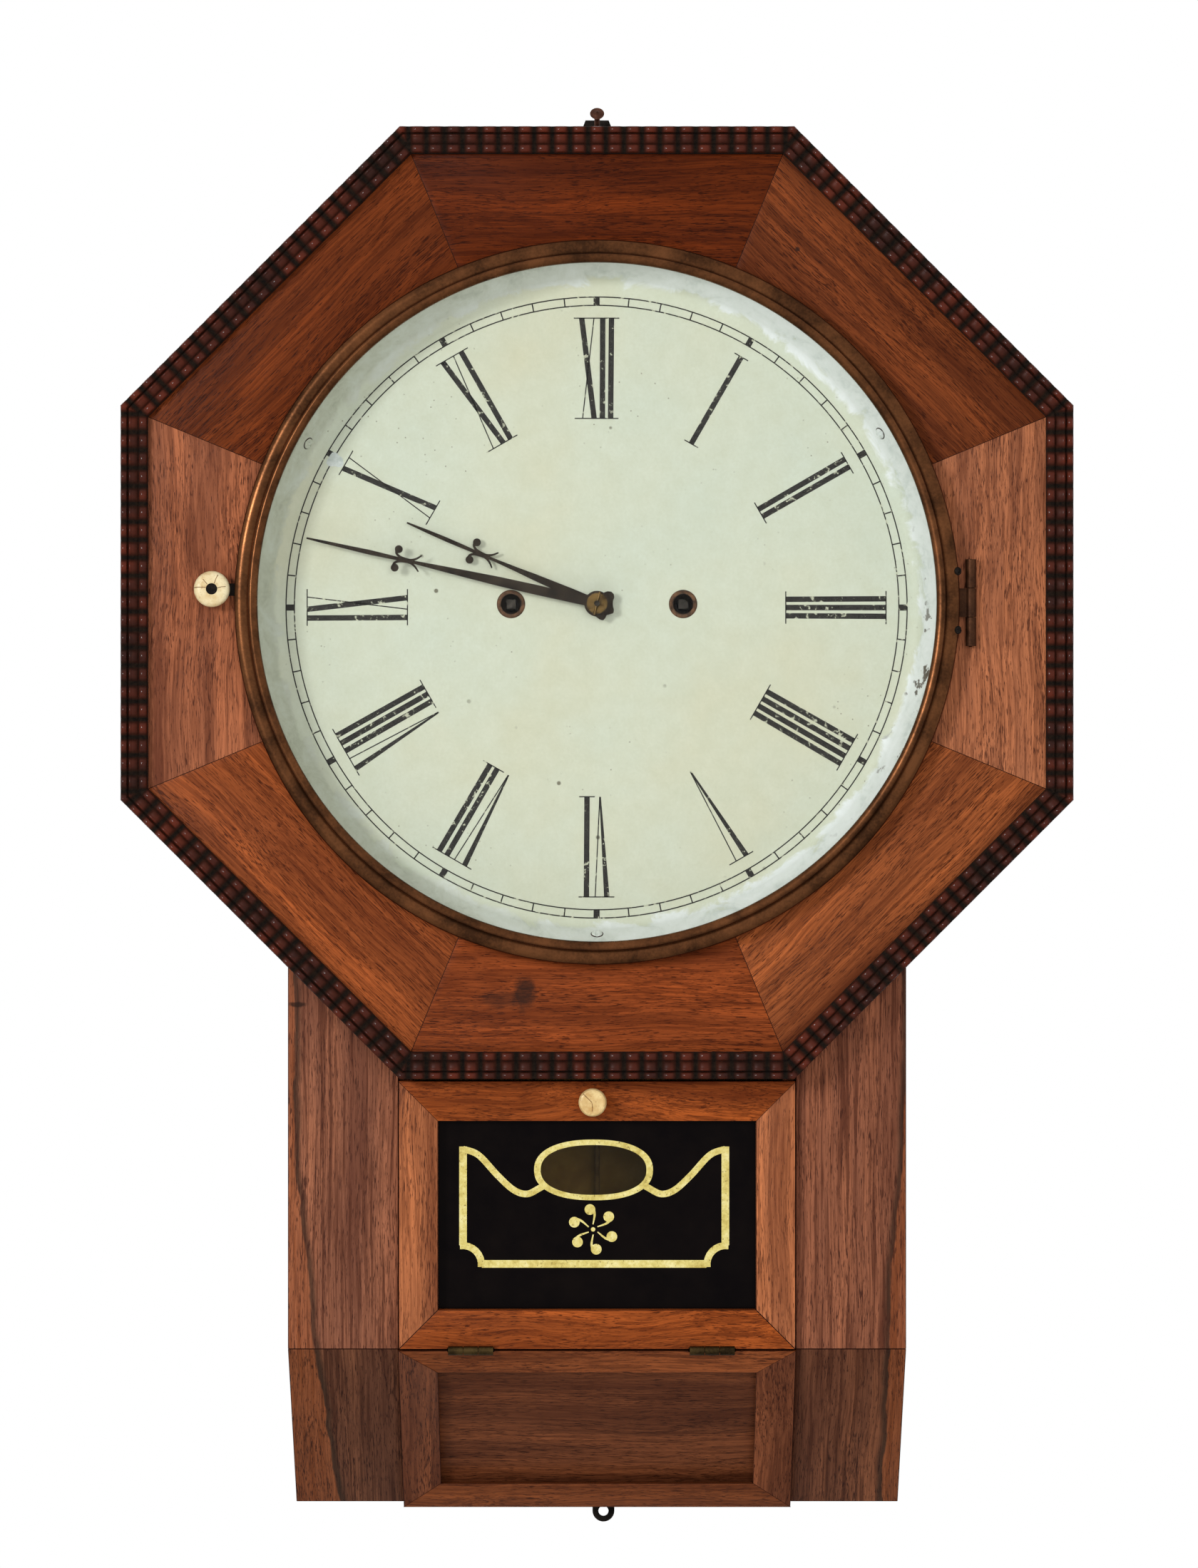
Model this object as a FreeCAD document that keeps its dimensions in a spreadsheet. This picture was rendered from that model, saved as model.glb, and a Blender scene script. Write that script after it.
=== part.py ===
import FreeCAD, Part
import math
import os
from collections import namedtuple

import Sketcher

# Octagon drop clock, millimetres, +Z up, front towards -Y.
# The origin is on the wall plane, straight behind the centre of the dial.
# Depth is measured forward from the wall, so a depth of 100 is y = -100.

SIZES = (
    # case
    ("octagon_width", 432, "octagon across its flats"),
    ("octagon_thick", 18, "thickness of the octagon segments"),
    ("case_depth", 100, "wall to the back of the octagon"),
    ("back_thick", 12, "backboard thickness"),
    ("side_thick", 10, "case side thickness"),
    ("board_thick", 8, "crown, corner and bottom boards"),
    ("drop_width", 282.6, "case width"),
    ("shoulder_rise", 144, "dial centre up to the top of the sides"),
    ("crown_rise", 206, "dial centre up to the top of the case"),
    ("crown_half", 79, "half the length of the top board"),
    ("break_drop", 340.5, "dial centre down to where the front turns back"),
    ("cant_drop", 79, "height of the canted front"),
    ("cant_run", 72, "how far the canted front goes back"),
    ("cant_thick", 8, "canted panel thickness"),
    ("stile_thick", 14, "drop stile thickness"),
    ("doorway_width", 181.6, "opening between the drop stiles"),
    ("stop_lip", 6, "door stop lip of each stile, width"),
    ("stop_thick", 6, "door stop lip of each stile, depth"),
    ("head_rail_height", 26, "rail behind the bottom of the octagon, height"),
    ("joint_gap", 0.3, "gap round doors and turning pieces"),
    ("seat_gap", 0.05, "gap of a fixed piece in its seat"),
    # apron below the door
    ("apron_proud", 3.7, "apron frame proud of the canted panels"),
    ("apron_frame_thick", 5, "apron frame thickness"),
    ("apron_top_rail", 11, "apron top rail, seen from the front"),
    ("apron_foot_rail", 12.5, "apron bottom rail, seen from the front"),
    ("apron_stile", 17.8, "apron stile width"),
    ("apron_lip", 2.3, "apron below the bottom of the case"),
    # ripple moulding
    ("ripple_width", 12.4, "moulding width"),
    ("ripple_height", 6, "moulding height"),
    ("ripple_swell", 1.5, "height of one wave"),
    ("ripple_count", 22, "waves along one side"),
    ("hollow_width", 5.2, "hollow along the moulding, width"),
    ("hollow_depth", 1.9, "hollow along the moulding, depth"),
    # dial
    ("dial_flat_radius", 147, "flat part of the dial"),
    ("dial_rim_radius", 156, "top of the dial's sloping rim"),
    ("dial_recess", 16.5, "dial face behind the front of the octagon"),
    ("dial_sheet", 0.8, "dial metal thickness"),
    ("dial_hole", 5, "radius of the hole for the hands"),
    ("winding_spread", 39.3, "dial centre to a winding hole"),
    ("grommet_bore", 4.6, "radius inside a winding hole"),
    ("grommet_wall", 0.7, "grommet tube wall"),
    ("grommet_flange", 6.5, "grommet flange radius"),
    ("grommet_sheet", 0.6, "grommet flange thickness"),
    # bezel
    ("bezel_radius", 164, "bezel outside radius"),
    ("bezel_sight", 153.3, "bezel sight radius"),
    ("bezel_foot", 7.6, "width of the bezel's foot"),
    ("roll_height", 12.4, "height of the outer roll"),
    ("roll_bulge", 2.6, "swell of the outer roll"),
    ("bead_height", 15, "height of the inner bead"),
    ("bead_width", 4.3, "width of the inner bead"),
    ("glass_thick", 2.2, "bezel glass thickness"),
    ("glass_lip", 2.9, "cover of the bezel over the edge of its glass"),
    # bezel hinge and catch
    ("bezel_hinge_offset", 169.5, "dial centre to the bezel hinge pin"),
    ("bezel_barrel", 2.4, "bezel hinge barrel radius"),
    ("bezel_barrel_length", 39.5, "bezel hinge barrel length"),
    ("hinge_pin", 0.9, "hinge pin radius"),
    ("leaf_thick", 1.2, "bezel hinge leaf thickness"),
    ("leaf_depth", 8, "how deep the case leaf sits in the wood"),
    ("bezel_knob_across", 174.2, "dial centre left to the bezel knob"),
    ("bezel_knob_rise", 6, "dial centre up to the bezel knob"),
    ("bezel_knob_radius", 8.2, "bezel knob radius"),
    ("bezel_knob_height", 9.6, "bezel knob length"),
    ("bezel_spindle", 2.5, "bezel knob spindle radius"),
    ("catch_thick", 1.2, "bezel catch thickness"),
    ("catch_width", 5.6, "bezel catch width"),
    # lower door
    ("door_gap_top", 2, "octagon to the top of the door"),
    ("door_thick", 12.7, "door frame thickness"),
    ("door_rail", 17.9, "door frame width"),
    ("tablet_thick", 2.5, "door glass thickness"),
    ("tablet_lap", 4, "door glass behind the frame"),
    ("tablet_set", 3.4, "back of the door to the back of its glass"),
    ("door_gap", 0.4, "half the gap between door and apron"),
    ("door_hinge_left", 57.6, "left door hinge from the middle"),
    ("door_hinge_right", 52.5, "right door hinge from the middle"),
    ("door_hinge_length", 20.5, "door hinge length"),
    ("door_barrel", 2.1, "door hinge barrel radius"),
    ("door_leaf_thick", 0.8, "door hinge leaf thickness"),
    ("door_leaf_depth", 10, "door hinge leaf, front of the door to its back edge"),
    ("door_knob_across", 2, "middle left to the door knob"),
    ("door_knob_radius", 6.45, "door knob radius"),
    ("door_knob_height", 11, "door knob length"),
    ("door_spindle", 1.8, "door knob spindle radius"),
    ("tongue_length", 22, "door latch tongue length"),
    ("tongue_width", 6, "door latch tongue width"),
    ("tongue_thick", 2, "door latch tongue thickness"),
    # hanger and lower ear
    ("hanger_width", 13.4, "hanger plate width"),
    ("hanger_top", 233, "dial centre up to the top of the hanger"),
    ("hanger_length", 72, "hanger plate length"),
    ("hanger_corner", 1.2, "hanger top corner cut, across"),
    ("hanger_corner_drop", 3, "hanger top corner cut, down"),
    ("hanger_hole", 2.3, "hanger hole radius"),
    ("hanger_hole_drop", 7, "hanger top to its hole"),
    ("plate_thick", 1.6, "hanger and ear plate thickness"),
    ("nail_radius", 1.3, "nail shank radius"),
    ("nail_tail_radius", 0.9, "nail radius inside the wall"),
    ("nail_head_radius", 3.35, "nail head radius"),
    ("nail_head_thick", 3, "nail head thickness"),
    ("nail_reach", 19, "plate to the front of the nail head"),
    ("nail_tail", 26, "plate to the point of the nail"),
    ("nail_tilt", 30, "nail slope in degrees"),
    ("ear_width", 10.4, "lower ear width"),
    ("ear_across", 3, "middle right to the lower ear"),
    ("ear_reach", 13, "case bottom to the end of the ear"),
    ("ear_hold", 24, "length of the ear let into the backboard"),
    ("ear_hole", 2.4, "ear hole radius"),
    ("ear_hole_drop", 8, "case bottom to the ear hole"),
    # paper inside the drop
    ("paper_width", 190, "backing paper width"),
    ("paper_tail", 5.5, "backing paper below the foot of the door"),
    ("paper_thick", 0.3, "backing paper thickness"),
    # hands
    ("minute_length", 135.7, "minute hand, centre to tip"),
    ("hour_length", 94.4, "hour hand, centre to tip"),
    ("minute_angle", 282.7, "minute hand, degrees clockwise from twelve"),
    ("hour_angle", 293.1, "hour hand, degrees clockwise from twelve"),
    ("minute_ornament", 86, "centre to the ornament of the minute hand"),
    ("hour_ornament", 54.5, "centre to the ornament of the hour hand"),
    ("hand_thick", 1, "hand thickness"),
    ("hand_boss", 6.2, "hand boss radius"),
    ("hand_gap", 3, "gap from dial to hour hand and on to minute hand"),
    ("collet_radius", 4.7, "brass collet radius"),
    ("collet_thick", 1.4, "brass collet thickness"),
    ("taper_pin", 0.55, "radius of the pin through the arbor"),
    ("taper_pin_length", 10.5, "length of the pin through the arbor"),
    ("taper_pin_lean", 14.5, "pin through the arbor, degrees off upright"),
    # movement
    ("plate_sheet", 2, "movement plate thickness"),
    ("back_plate_depth", 34, "wall to the back plate"),
    ("plate_space", 38, "space between the plates"),
    ("plate_width", 160, "movement plate width"),
    ("plate_top", 92, "dial centre up to the top of the plates"),
    ("plate_foot", 60, "dial centre down to the bottom of the plates"),
    ("pillar_inset", 9, "pillar to the plate edges"),
    ("pillar_radius", 4, "pillar radius"),
    ("pillar_pin", 2.4, "pillar end radius"),
    ("block_width", 15, "movement block width"),
    ("block_height", 100, "movement block height"),
    ("wheel_sheet", 1.5, "wheel thickness"),
    ("wheel_gap", 1, "main wheel to its ratchet"),
    ("pinion_pins", 8, "pins in each lantern pinion"),
    ("pinion_length", 5, "clear length of a lantern pinion"),
    ("shroud_thick", 1, "lantern pinion end disc thickness"),
    ("main_teeth", 80, "teeth of a main wheel"),
    ("centre_teeth", 72, "teeth of the centre wheel"),
    ("third_teeth", 64, "teeth of the third wheel"),
    ("escape_teeth", 40, "teeth of the escape wheel"),
    ("motion_teeth", 24, "teeth of the motion wheel"),
    ("hour_teeth", 32, "teeth of the hour wheel"),
    ("centre_module", 0.8, "module of the centre wheel"),
    ("third_module", 0.7, "module of the third wheel"),
    ("motion_module", 1, "module of the motion wheel"),
    ("pivot", 1, "pivot radius"),
    ("arbor", 1.5, "arbor radius"),
    ("minute_arbor", 2.2, "minute arbor radius in front of the plates"),
    ("minute_end", 1.3, "minute arbor radius at its end"),
    ("pipe_wall", 1.1, "hour pipe wall"),
    ("run_gap", 0.1, "running gap of a shaft in its hole"),
    ("main_arbor", 3, "winding arbor radius"),
    ("winding_square", 4.2, "winding square across its flats"),
    ("ratchet_radius", 9, "ratchet wheel radius"),
    ("ratchet_teeth", 16, "ratchet wheel teeth"),
    ("spring_radius", 24, "mainspring outside radius"),
    ("spring_width", 18, "mainspring width"),
    ("spring_turns", 6, "mainspring turns"),
    ("spring_thick", 0.6, "mainspring thickness"),
    ("escape_radius", 16, "escape wheel radius"),
    ("verge_rise", 82, "dial centre up to the verge and the pendulum's bend"),
    ("pallet_gap", 1.7, "pallet to escape wheel with the pendulum upright"),
    ("pallet_angle", 42, "half the angle between the pallets, degrees"),
    ("pallet_thick", 1, "pallet thickness"),
    ("verge_strip", 5.6, "width of the verge strip"),
    # pendulum
    ("pendulum_depth", 23, "wall to the pendulum rod"),
    ("pendulum_length", 390, "bend of the suspension to the middle of the bob"),
    ("rod_radius", 1.2, "pendulum rod radius"),
    ("bob_radius", 28, "bob radius"),
    ("bob_thick", 13, "bob thickness"),
    ("nut_radius", 4.5, "rating nut radius"),
    ("nut_height", 4, "rating nut height"),
    ("suspension_width", 5, "suspension spring width"),
    ("suspension_thick", 0.4, "suspension spring thickness"),
    ("suspension_length", 14, "suspension spring length"),
    ("crutch_length", 34, "verge to the crutch fork"),
    ("crutch_wire", 1.4, "crutch wire width"),
)

doc = FreeCAD.newDocument("octagon_drop_clock")
sheet = doc.addObject("Spreadsheet::Sheet", "Sizes")
for row, (alias, value, note) in enumerate(SIZES, start=1):
    sheet.set(f"A{row}", note)
    sheet.set(f"B{row}", str(value))
    sheet.setAlias(f"B{row}", alias)
doc.recompute()

Vector = FreeCAD.Vector
Rotation = FreeCAD.Rotation
Placement = FreeCAD.Placement
BACK = Vector(0, 1, 0)
SIDEWAYS = Vector(1, 0, 0)
UP = Vector(0, 0, 1)
OCTAGON_SIDES = 8
HALF_SIDE = math.tan(math.pi / OCTAGON_SIDES)


class Size:
    """A number that remembers the sheet formula it comes from."""

    def __init__(self, value, text):
        self.value = value
        self.text = text

    def join(self, other, sign, turned_round=False):
        mine = (self.value, self.text)
        theirs = (number(other), formula(other))
        (a, a_text), (b, b_text) = (theirs, mine) if turned_round else (mine, theirs)
        results = {"+": a + b, "-": a - b, "*": a * b}
        result = results[sign] if sign in results else a / b
        return Size(result, f"({a_text} {sign} {b_text})")

    def __add__(self, other):
        return self.join(other, "+")

    def __radd__(self, other):
        return self.join(other, "+", True)

    def __sub__(self, other):
        return self.join(other, "-")

    def __rsub__(self, other):
        return self.join(other, "-", True)

    def __mul__(self, other):
        return self.join(other, "*")

    def __rmul__(self, other):
        return self.join(other, "*", True)

    def __truediv__(self, other):
        return self.join(other, "/")

    def __rtruediv__(self, other):
        return self.join(other, "/", True)

    def __neg__(self):
        return Size(-self.value, f"(0 - {self.text})")

    def __float__(self):
        return float(self.value)


def number(value):
    return value.value if isinstance(value, Size) else float(value)


def formula(value):
    return value.text if isinstance(value, Size) else repr(float(value))


def root(value):
    return Size(math.sqrt(value.value), f"sqrt({value.text})")


class Sheet:
    """The sizes of the sheet as attributes."""

    def __getattr__(self, alias):
        return Size(float(sheet.get(alias)), "Sizes." + alias)


S = Sheet()
Ring = namedtuple("Ring", "x y radius")


# Sketches and features

def bind(owner, path, value):
    if isinstance(value, Size):
        owner.setExpression(path, value.text)


def new_body(name):
    body = doc.addObject("PartDesign::Body", name)
    body.Label = name
    return body


def new_sketch(body, plane, offset=0.0):
    sketch = body.newObject("Sketcher::SketchObject", body.Name + "_sketch")
    planes = {feature.Role: feature for feature in body.Origin.OriginFeatures}
    sketch.AttachmentSupport = [(planes[plane], "")]
    sketch.MapMode = "FlatFace"
    sketch.AttachmentOffset = Placement(Vector(0, 0, number(offset)), Rotation())
    bind(sketch, "AttachmentOffset.Base.z", offset)
    return sketch


def fix_point(sketch, edge, end, x, y):
    """Tie one end of an edge to the origin at (x, y)."""
    for kind, axis, value in (("DistanceX", -2, x), ("DistanceY", -1, y)):
        if abs(number(value)) < 1e-9:
            sketch.addConstraint(Sketcher.Constraint("PointOnObject", edge, end, axis))
            continue
        place = Sketcher.Constraint(kind, -1, 1, edge, end, number(value))
        index = sketch.addConstraint(place)
        bind(sketch, f"Constraints[{index}]", value)


def add_ring(sketch, ring):
    centre = Vector(number(ring.x), number(ring.y), 0)
    circle = Part.Circle(centre, UP, number(ring.radius))
    edge = sketch.addGeometry(circle, False)
    fix_point(sketch, edge, 3, ring.x, ring.y)
    size = Sketcher.Constraint("Radius", edge, number(ring.radius))
    index = sketch.addConstraint(size)
    bind(sketch, f"Constraints[{index}]", ring.radius)


def arc_radius(start, end, swell):
    across = end[0] - start[0]
    along = end[1] - start[1]
    return (across * across + along * along) / (swell * 8) + swell / 2


def add_arc(sketch, start, end, swell):
    """Arc from start to end that swells to the left of the way it runs."""
    a = Vector(number(start[0]), number(start[1]), 0)
    b = Vector(number(end[0]), number(end[1]), 0)
    rise = number(swell)
    left = UP.cross(b - a).normalize()
    radius = arc_radius(start, end, swell if rise > 0 else -swell)
    inward = number(radius) - abs(rise)
    centre = (a + b) / 2 - left * math.copysign(inward, rise)
    first, last = (b, a) if rise > 0 else (a, b)
    angles = [math.atan2(p.y - centre.y, p.x - centre.x) for p in (first, last)]
    circle = Part.Circle(centre, UP, number(radius))
    edge = sketch.addGeometry(Part.ArcOfCircle(circle, *angles), False)
    size = Sketcher.Constraint("Radius", edge, number(radius))
    index = sketch.addConstraint(size)
    bind(sketch, f"Constraints[{index}]", radius)
    return (edge, 2, 1) if rise > 0 else (edge, 1, 2)


def add_outline(sketch, corners):
    """Closed outline; a corner's third value is the swell of the edge that leads to it."""
    edges = []
    for start, end in zip(corners, list(corners[1:]) + [corners[0]]):
        if len(end) == 3:
            edges.append(add_arc(sketch, start, end, end[2]))
            continue
        a = Vector(number(start[0]), number(start[1]), 0)
        b = Vector(number(end[0]), number(end[1]), 0)
        edges.append((sketch.addGeometry(Part.LineSegment(a, b), False), 1, 2))
    for this, following in zip(edges, edges[1:] + edges[:1]):
        meet = Sketcher.Constraint("Coincident", this[0], this[2], following[0], following[1])
        sketch.addConstraint(meet)
    for (edge, first, _), corner in zip(edges, corners):
        fix_point(sketch, edge, first, corner[0], corner[1])


def draw(sketch, loops):
    for loop in loops:
        if isinstance(loop, Ring):
            add_ring(sketch, loop)
        else:
            add_outline(sketch, loop)


def extrude(body, kind, sketch, length, both_ways=False):
    feature = body.newObject("PartDesign::" + kind, body.Name + "_" + kind.lower())
    feature.Profile = sketch
    feature.Length = number(length)
    bind(feature, "Length", length)
    if both_ways:
        feature.SideType = "Symmetric"
    return feature


def pad(body, plane, loops, start, length):
    sketch = new_sketch(body, plane, start)
    draw(sketch, loops)
    return extrude(body, "Pad", sketch, length)


def pocket(body, plane, loops, start, length, both_ways=False):
    """Cut from the sketch plane back against its normal, or both ways."""
    sketch = new_sketch(body, plane, start)
    draw(sketch, loops)
    return extrude(body, "Pocket", sketch, length, both_ways)


def spin(body, kind, corners):
    """Turn a profile of (depth, radius) corners about the depth axis."""
    sketch = new_sketch(body, "YZ_Plane")
    draw(sketch, [flip(corners)])
    feature = body.newObject("PartDesign::" + kind, body.Name + "_" + kind.lower())
    feature.Profile = sketch
    feature.ReferenceAxis = (sketch, ["H_Axis"])
    feature.Angle = 360
    return feature


def flip(corners):
    """Corners given by depth become sketch corners, where depth runs the other way."""
    return [(-corner[0], *corner[1:]) for corner in corners]


def place(body, x=0.0, z=0.0):
    body.Placement.Base = Vector(number(x), 0, number(z))
    bind(body, "Placement.Base.x", x)
    bind(body, "Placement.Base.z", z)


def slab(name, loops, start, thick):
    """Board seen from the front: (x, z) outlines from one depth forward."""
    body = new_body(name)
    pad(body, "XZ_Plane", loops, start, thick)
    return body


def rail(name, corners, start, length):
    """Board seen from the side: (depth, z) corners from one x to the right."""
    body = new_body(name)
    pad(body, "YZ_Plane", [flip(corners)], start, length)
    return body


def post(name, corners, start, length):
    """Post seen from above: (x, depth) corners from one height up."""
    body = new_body(name)
    pad(body, "XY_Plane", [[(x, -depth) for x, depth in corners]], start, length)
    return body


def turned(name, corners, x=0.0, z=0.0):
    """Turned piece: (depth, radius) corners about an axis at (x, z)."""
    body = new_body(name)
    spin(body, "Revolution", corners)
    place(body, x, z)
    return body


def box(left, right, low, high):
    return [(left, low), (right, low), (right, high), (left, high)]


def group(name, members):
    """Several separate solids that make one sub-part."""
    compound = doc.addObject("Part::Compound", name)
    compound.Label = name
    compound.Links = members
    return compound


def shaped(name, shape, placement=Placement()):
    """Sub-part whose shape is worked out below."""
    feature = doc.addObject("Part::Feature", name)
    feature.Label = name
    feature.Shape = shape
    feature.Placement = placement
    return feature


parts = []

# Levels that several pieces share

half_octagon = S.octagon_width / 2
octagon_face = S.case_depth + S.octagon_thick
half_drop = S.drop_width / 2
half_doorway = S.doorway_width / 2
side_inner = half_drop - S.side_thick
stile_back = S.case_depth - S.stile_thick
foot_drop = S.break_drop + S.cant_drop
cant_length = root(S.cant_run * S.cant_run + S.cant_drop * S.cant_drop)
dial_face = octagon_face - S.dial_recess
dial_back = dial_face - S.dial_sheet
rim_slope = (S.dial_rim_radius - S.dial_flat_radius) / S.dial_recess
rim_wall = S.dial_sheet * root(rim_slope * rim_slope + 1)


def cant_depth(drop, proud):
    """Depth of a plane along the canted front, at a drop below the dial centre."""
    below_break = drop - S.break_drop
    return S.case_depth + (proud * cant_length - below_break * S.cant_run) / S.cant_drop


def opening_radius(depth):
    """Conical opening of the octagon at a depth."""
    return S.dial_flat_radius + (depth - dial_face) * rim_slope + rim_wall + S.joint_gap


# Case carcass

def make_backboard():
    outline = [
        (-half_drop, -foot_drop), (half_drop, -foot_drop), (half_drop, S.shoulder_rise),
        (S.crown_half, S.crown_rise), (-S.crown_half, S.crown_rise), (-half_drop, S.shoulder_rise),
    ]
    body = slab("backboard", [outline], 0.0, S.back_thick)
    mortise = S.plate_thick + S.joint_gap
    half_hanger = S.hanger_width / 2 + S.joint_gap
    hanger_foot = S.hanger_top - S.hanger_length - S.joint_gap
    half_ear = S.ear_width / 2 + S.joint_gap
    ear_head = S.ear_hold + S.joint_gap - foot_drop
    hanger_bed = box(-half_hanger, half_hanger, hanger_foot, S.crown_rise + S.joint_gap)
    ear_bed = box(S.ear_across - half_ear, S.ear_across + half_ear, -foot_drop - S.joint_gap, ear_head)
    pocket(body, "XZ_Plane", [hanger_bed, ear_bed], mortise, mortise)
    return body


def make_sides():
    behind_stile = cant_depth(S.break_drop, -S.cant_thick) - stile_back
    cant_meets_stile = S.break_drop + behind_stile * S.cant_drop / S.cant_run
    corners = [
        (S.back_thick, S.shoulder_rise), (stile_back, S.shoulder_rise), (stile_back, -cant_meets_stile),
        (cant_depth(foot_drop, -S.cant_thick), -foot_drop), (S.back_thick, -foot_drop),
    ]
    return [
        rail("case_side_left", corners, -half_drop, S.side_thick),
        rail("case_side_right", corners, side_inner, S.side_thick),
    ]


def make_crown():
    """Top board and the two boards that cut off the upper corners."""
    run = half_drop - S.crown_half
    rise = S.crown_rise - S.shoulder_rise
    slant = root(run * run + rise * rise)
    across = S.board_thick * slant / rise
    down = S.board_thick * slant / run
    corner = [
        (half_drop, S.shoulder_rise), (S.crown_half, S.crown_rise),
        (S.crown_half, S.crown_rise - down), (half_drop - across, S.shoulder_rise),
    ]
    mirrored = [(-x, z) for x, z in corner]
    top = box(-S.crown_half, S.crown_half, S.crown_rise - S.board_thick, S.crown_rise)
    depth = S.case_depth - S.back_thick
    boards = [
        slab(f"crown_board_{i}", [outline], S.back_thick, depth)
        for i, outline in enumerate((corner, top, mirrored), start=1)
    ]
    return group("case_crown", boards)


def make_bottom():
    low = cant_depth(foot_drop, -S.cant_thick)
    high = cant_depth(foot_drop - S.board_thick, -S.cant_thick)
    corners = [
        (S.back_thick, -foot_drop), (low, -foot_drop),
        (high, S.board_thick - foot_drop), (S.back_thick, S.board_thick - foot_drop),
    ]
    return rail("case_bottom", corners, -side_inner, side_inner * 2)


def make_stiles():
    lip = half_doorway - S.stop_lip
    lip_face = stile_back + S.stop_thick
    right = [
        (lip, stile_back), (half_drop, stile_back), (half_drop, S.case_depth),
        (half_doorway, S.case_depth), (half_doorway, lip_face), (lip, lip_face),
    ]
    left = [(-x, depth) for x, depth in right]
    height = S.break_drop + S.shoulder_rise
    return [
        post("drop_stile_left", left, -S.break_drop, height),
        post("drop_stile_right", right, -S.break_drop, height),
    ]


def make_head_rail():
    """Rail behind the bottom of the octagon that the door latch turns up behind."""
    half = half_doorway - S.seat_gap
    start = stile_back + S.stop_thick
    outline = box(-half, half, -half_octagon, S.head_rail_height - half_octagon)
    return slab("head_rail", [outline], start, S.case_depth - start)


def sloped(name, outline, front, back):
    """Board on the canted front: a front-view outline between two planes along the slope."""
    body = slab(name, [outline], 0.0, S.case_depth + S.octagon_thick)
    high = S.break_drop - S.board_thick
    low = foot_drop + S.board_thick
    far = octagon_face + S.board_thick
    ahead = [(cant_depth(high, front), -high), (far, -high), (far, -low), (cant_depth(low, front), -low)]
    behind = [(cant_depth(high, back), -high), (-far, -high), (-far, -low), (cant_depth(low, back), -low)]
    pocket(body, "YZ_Plane", [flip(ahead), flip(behind)], 0.0, S.drop_width * 2, both_ways=True)
    return body


def make_canted_panels():
    right = box(half_doorway, half_drop, -foot_drop, -S.break_drop)
    left = [(-x, z) for x, z in right]
    return [
        sloped("canted_panel_left", left, 0.0, -S.cant_thick),
        sloped("canted_panel_right", right, 0.0, -S.cant_thick),
    ]


def mitred_frame(left, right, low, high, sides, foot, head):
    """Outlines of the four mitred members of a frame."""
    inner = box(left + sides, right - sides, low + foot, high - head)
    outer = box(left, right, low, high)
    return [
        [outer[i], outer[(i + 1) % 4], inner[(i + 1) % 4], inner[i]]
        for i in range(4)
    ]


def make_apron():
    half = half_doorway - S.seat_gap
    high = -S.break_drop - S.door_gap
    low = -foot_drop - S.apron_lip
    ledge = S.apron_proud - S.apron_frame_thick
    panel = sloped("apron_panel", box(-half, half, low, high), ledge, -S.cant_thick)
    outlines = mitred_frame(-half, half, low, high, S.apron_stile, S.apron_foot_rail, S.apron_top_rail)
    names = ("apron_foot_rail", "apron_stile_right", "apron_top_rail", "apron_stile_left")
    members = [sloped(name, outline, S.apron_proud, ledge) for name, outline in zip(names, outlines)]
    for sign, across in ((-1, S.door_hinge_left), (1, S.door_hinge_right)):
        cut_leaf_bed(members[2], sign * across, -1)
        cut_leaf_bed(panel, sign * across, -1)
    return [panel, group("apron_frame", members)]


# Octagon with its ripple moulding

HINGE_SEGMENT = 2
KNOB_SEGMENT = 6
SEGMENT_REACH = 0.6


def mitred_board(inner):
    """Outline of one side of the octagon at the top, mitred at both ends."""
    return [
        (-half_octagon * HALF_SIDE, half_octagon), (-inner * HALF_SIDE, inner),
        (inner * HALF_SIDE, inner), (half_octagon * HALF_SIDE, half_octagon),
    ]


def make_octagon_segment(index):
    body = new_body(f"octagon_segment_{index + 1}")
    outline = mitred_board(half_octagon * SEGMENT_REACH)
    pad(body, "XZ_Plane", [outline], S.case_depth, S.octagon_thick)
    back = S.case_depth - S.joint_gap
    front = octagon_face + S.joint_gap
    opening = [(back, 0.0), (front, 0.0), (front, opening_radius(front)), (back, opening_radius(back))]
    spin(body, "Groove", opening)
    if index == HINGE_SEGMENT:
        half_slot = S.leaf_thick / 2 + S.seat_gap
        half_height = S.bezel_barrel_length / 2 + S.seat_gap
        pin = S.bezel_hinge_offset
        slot = box(-half_height, half_height, pin - half_slot, pin + half_slot)
        pocket(body, "XZ_Plane", [slot], octagon_face, S.leaf_depth + S.seat_gap)
    if index == KNOB_SEGMENT:
        hole = Ring(S.bezel_knob_rise, S.bezel_knob_across, S.bezel_spindle + S.run_gap)
        pocket(body, "XZ_Plane", [hole], octagon_face, S.octagon_thick)
    body.Placement = Placement(Vector(), Rotation(BACK, index * 360 / OCTAGON_SIDES))
    return body


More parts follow.
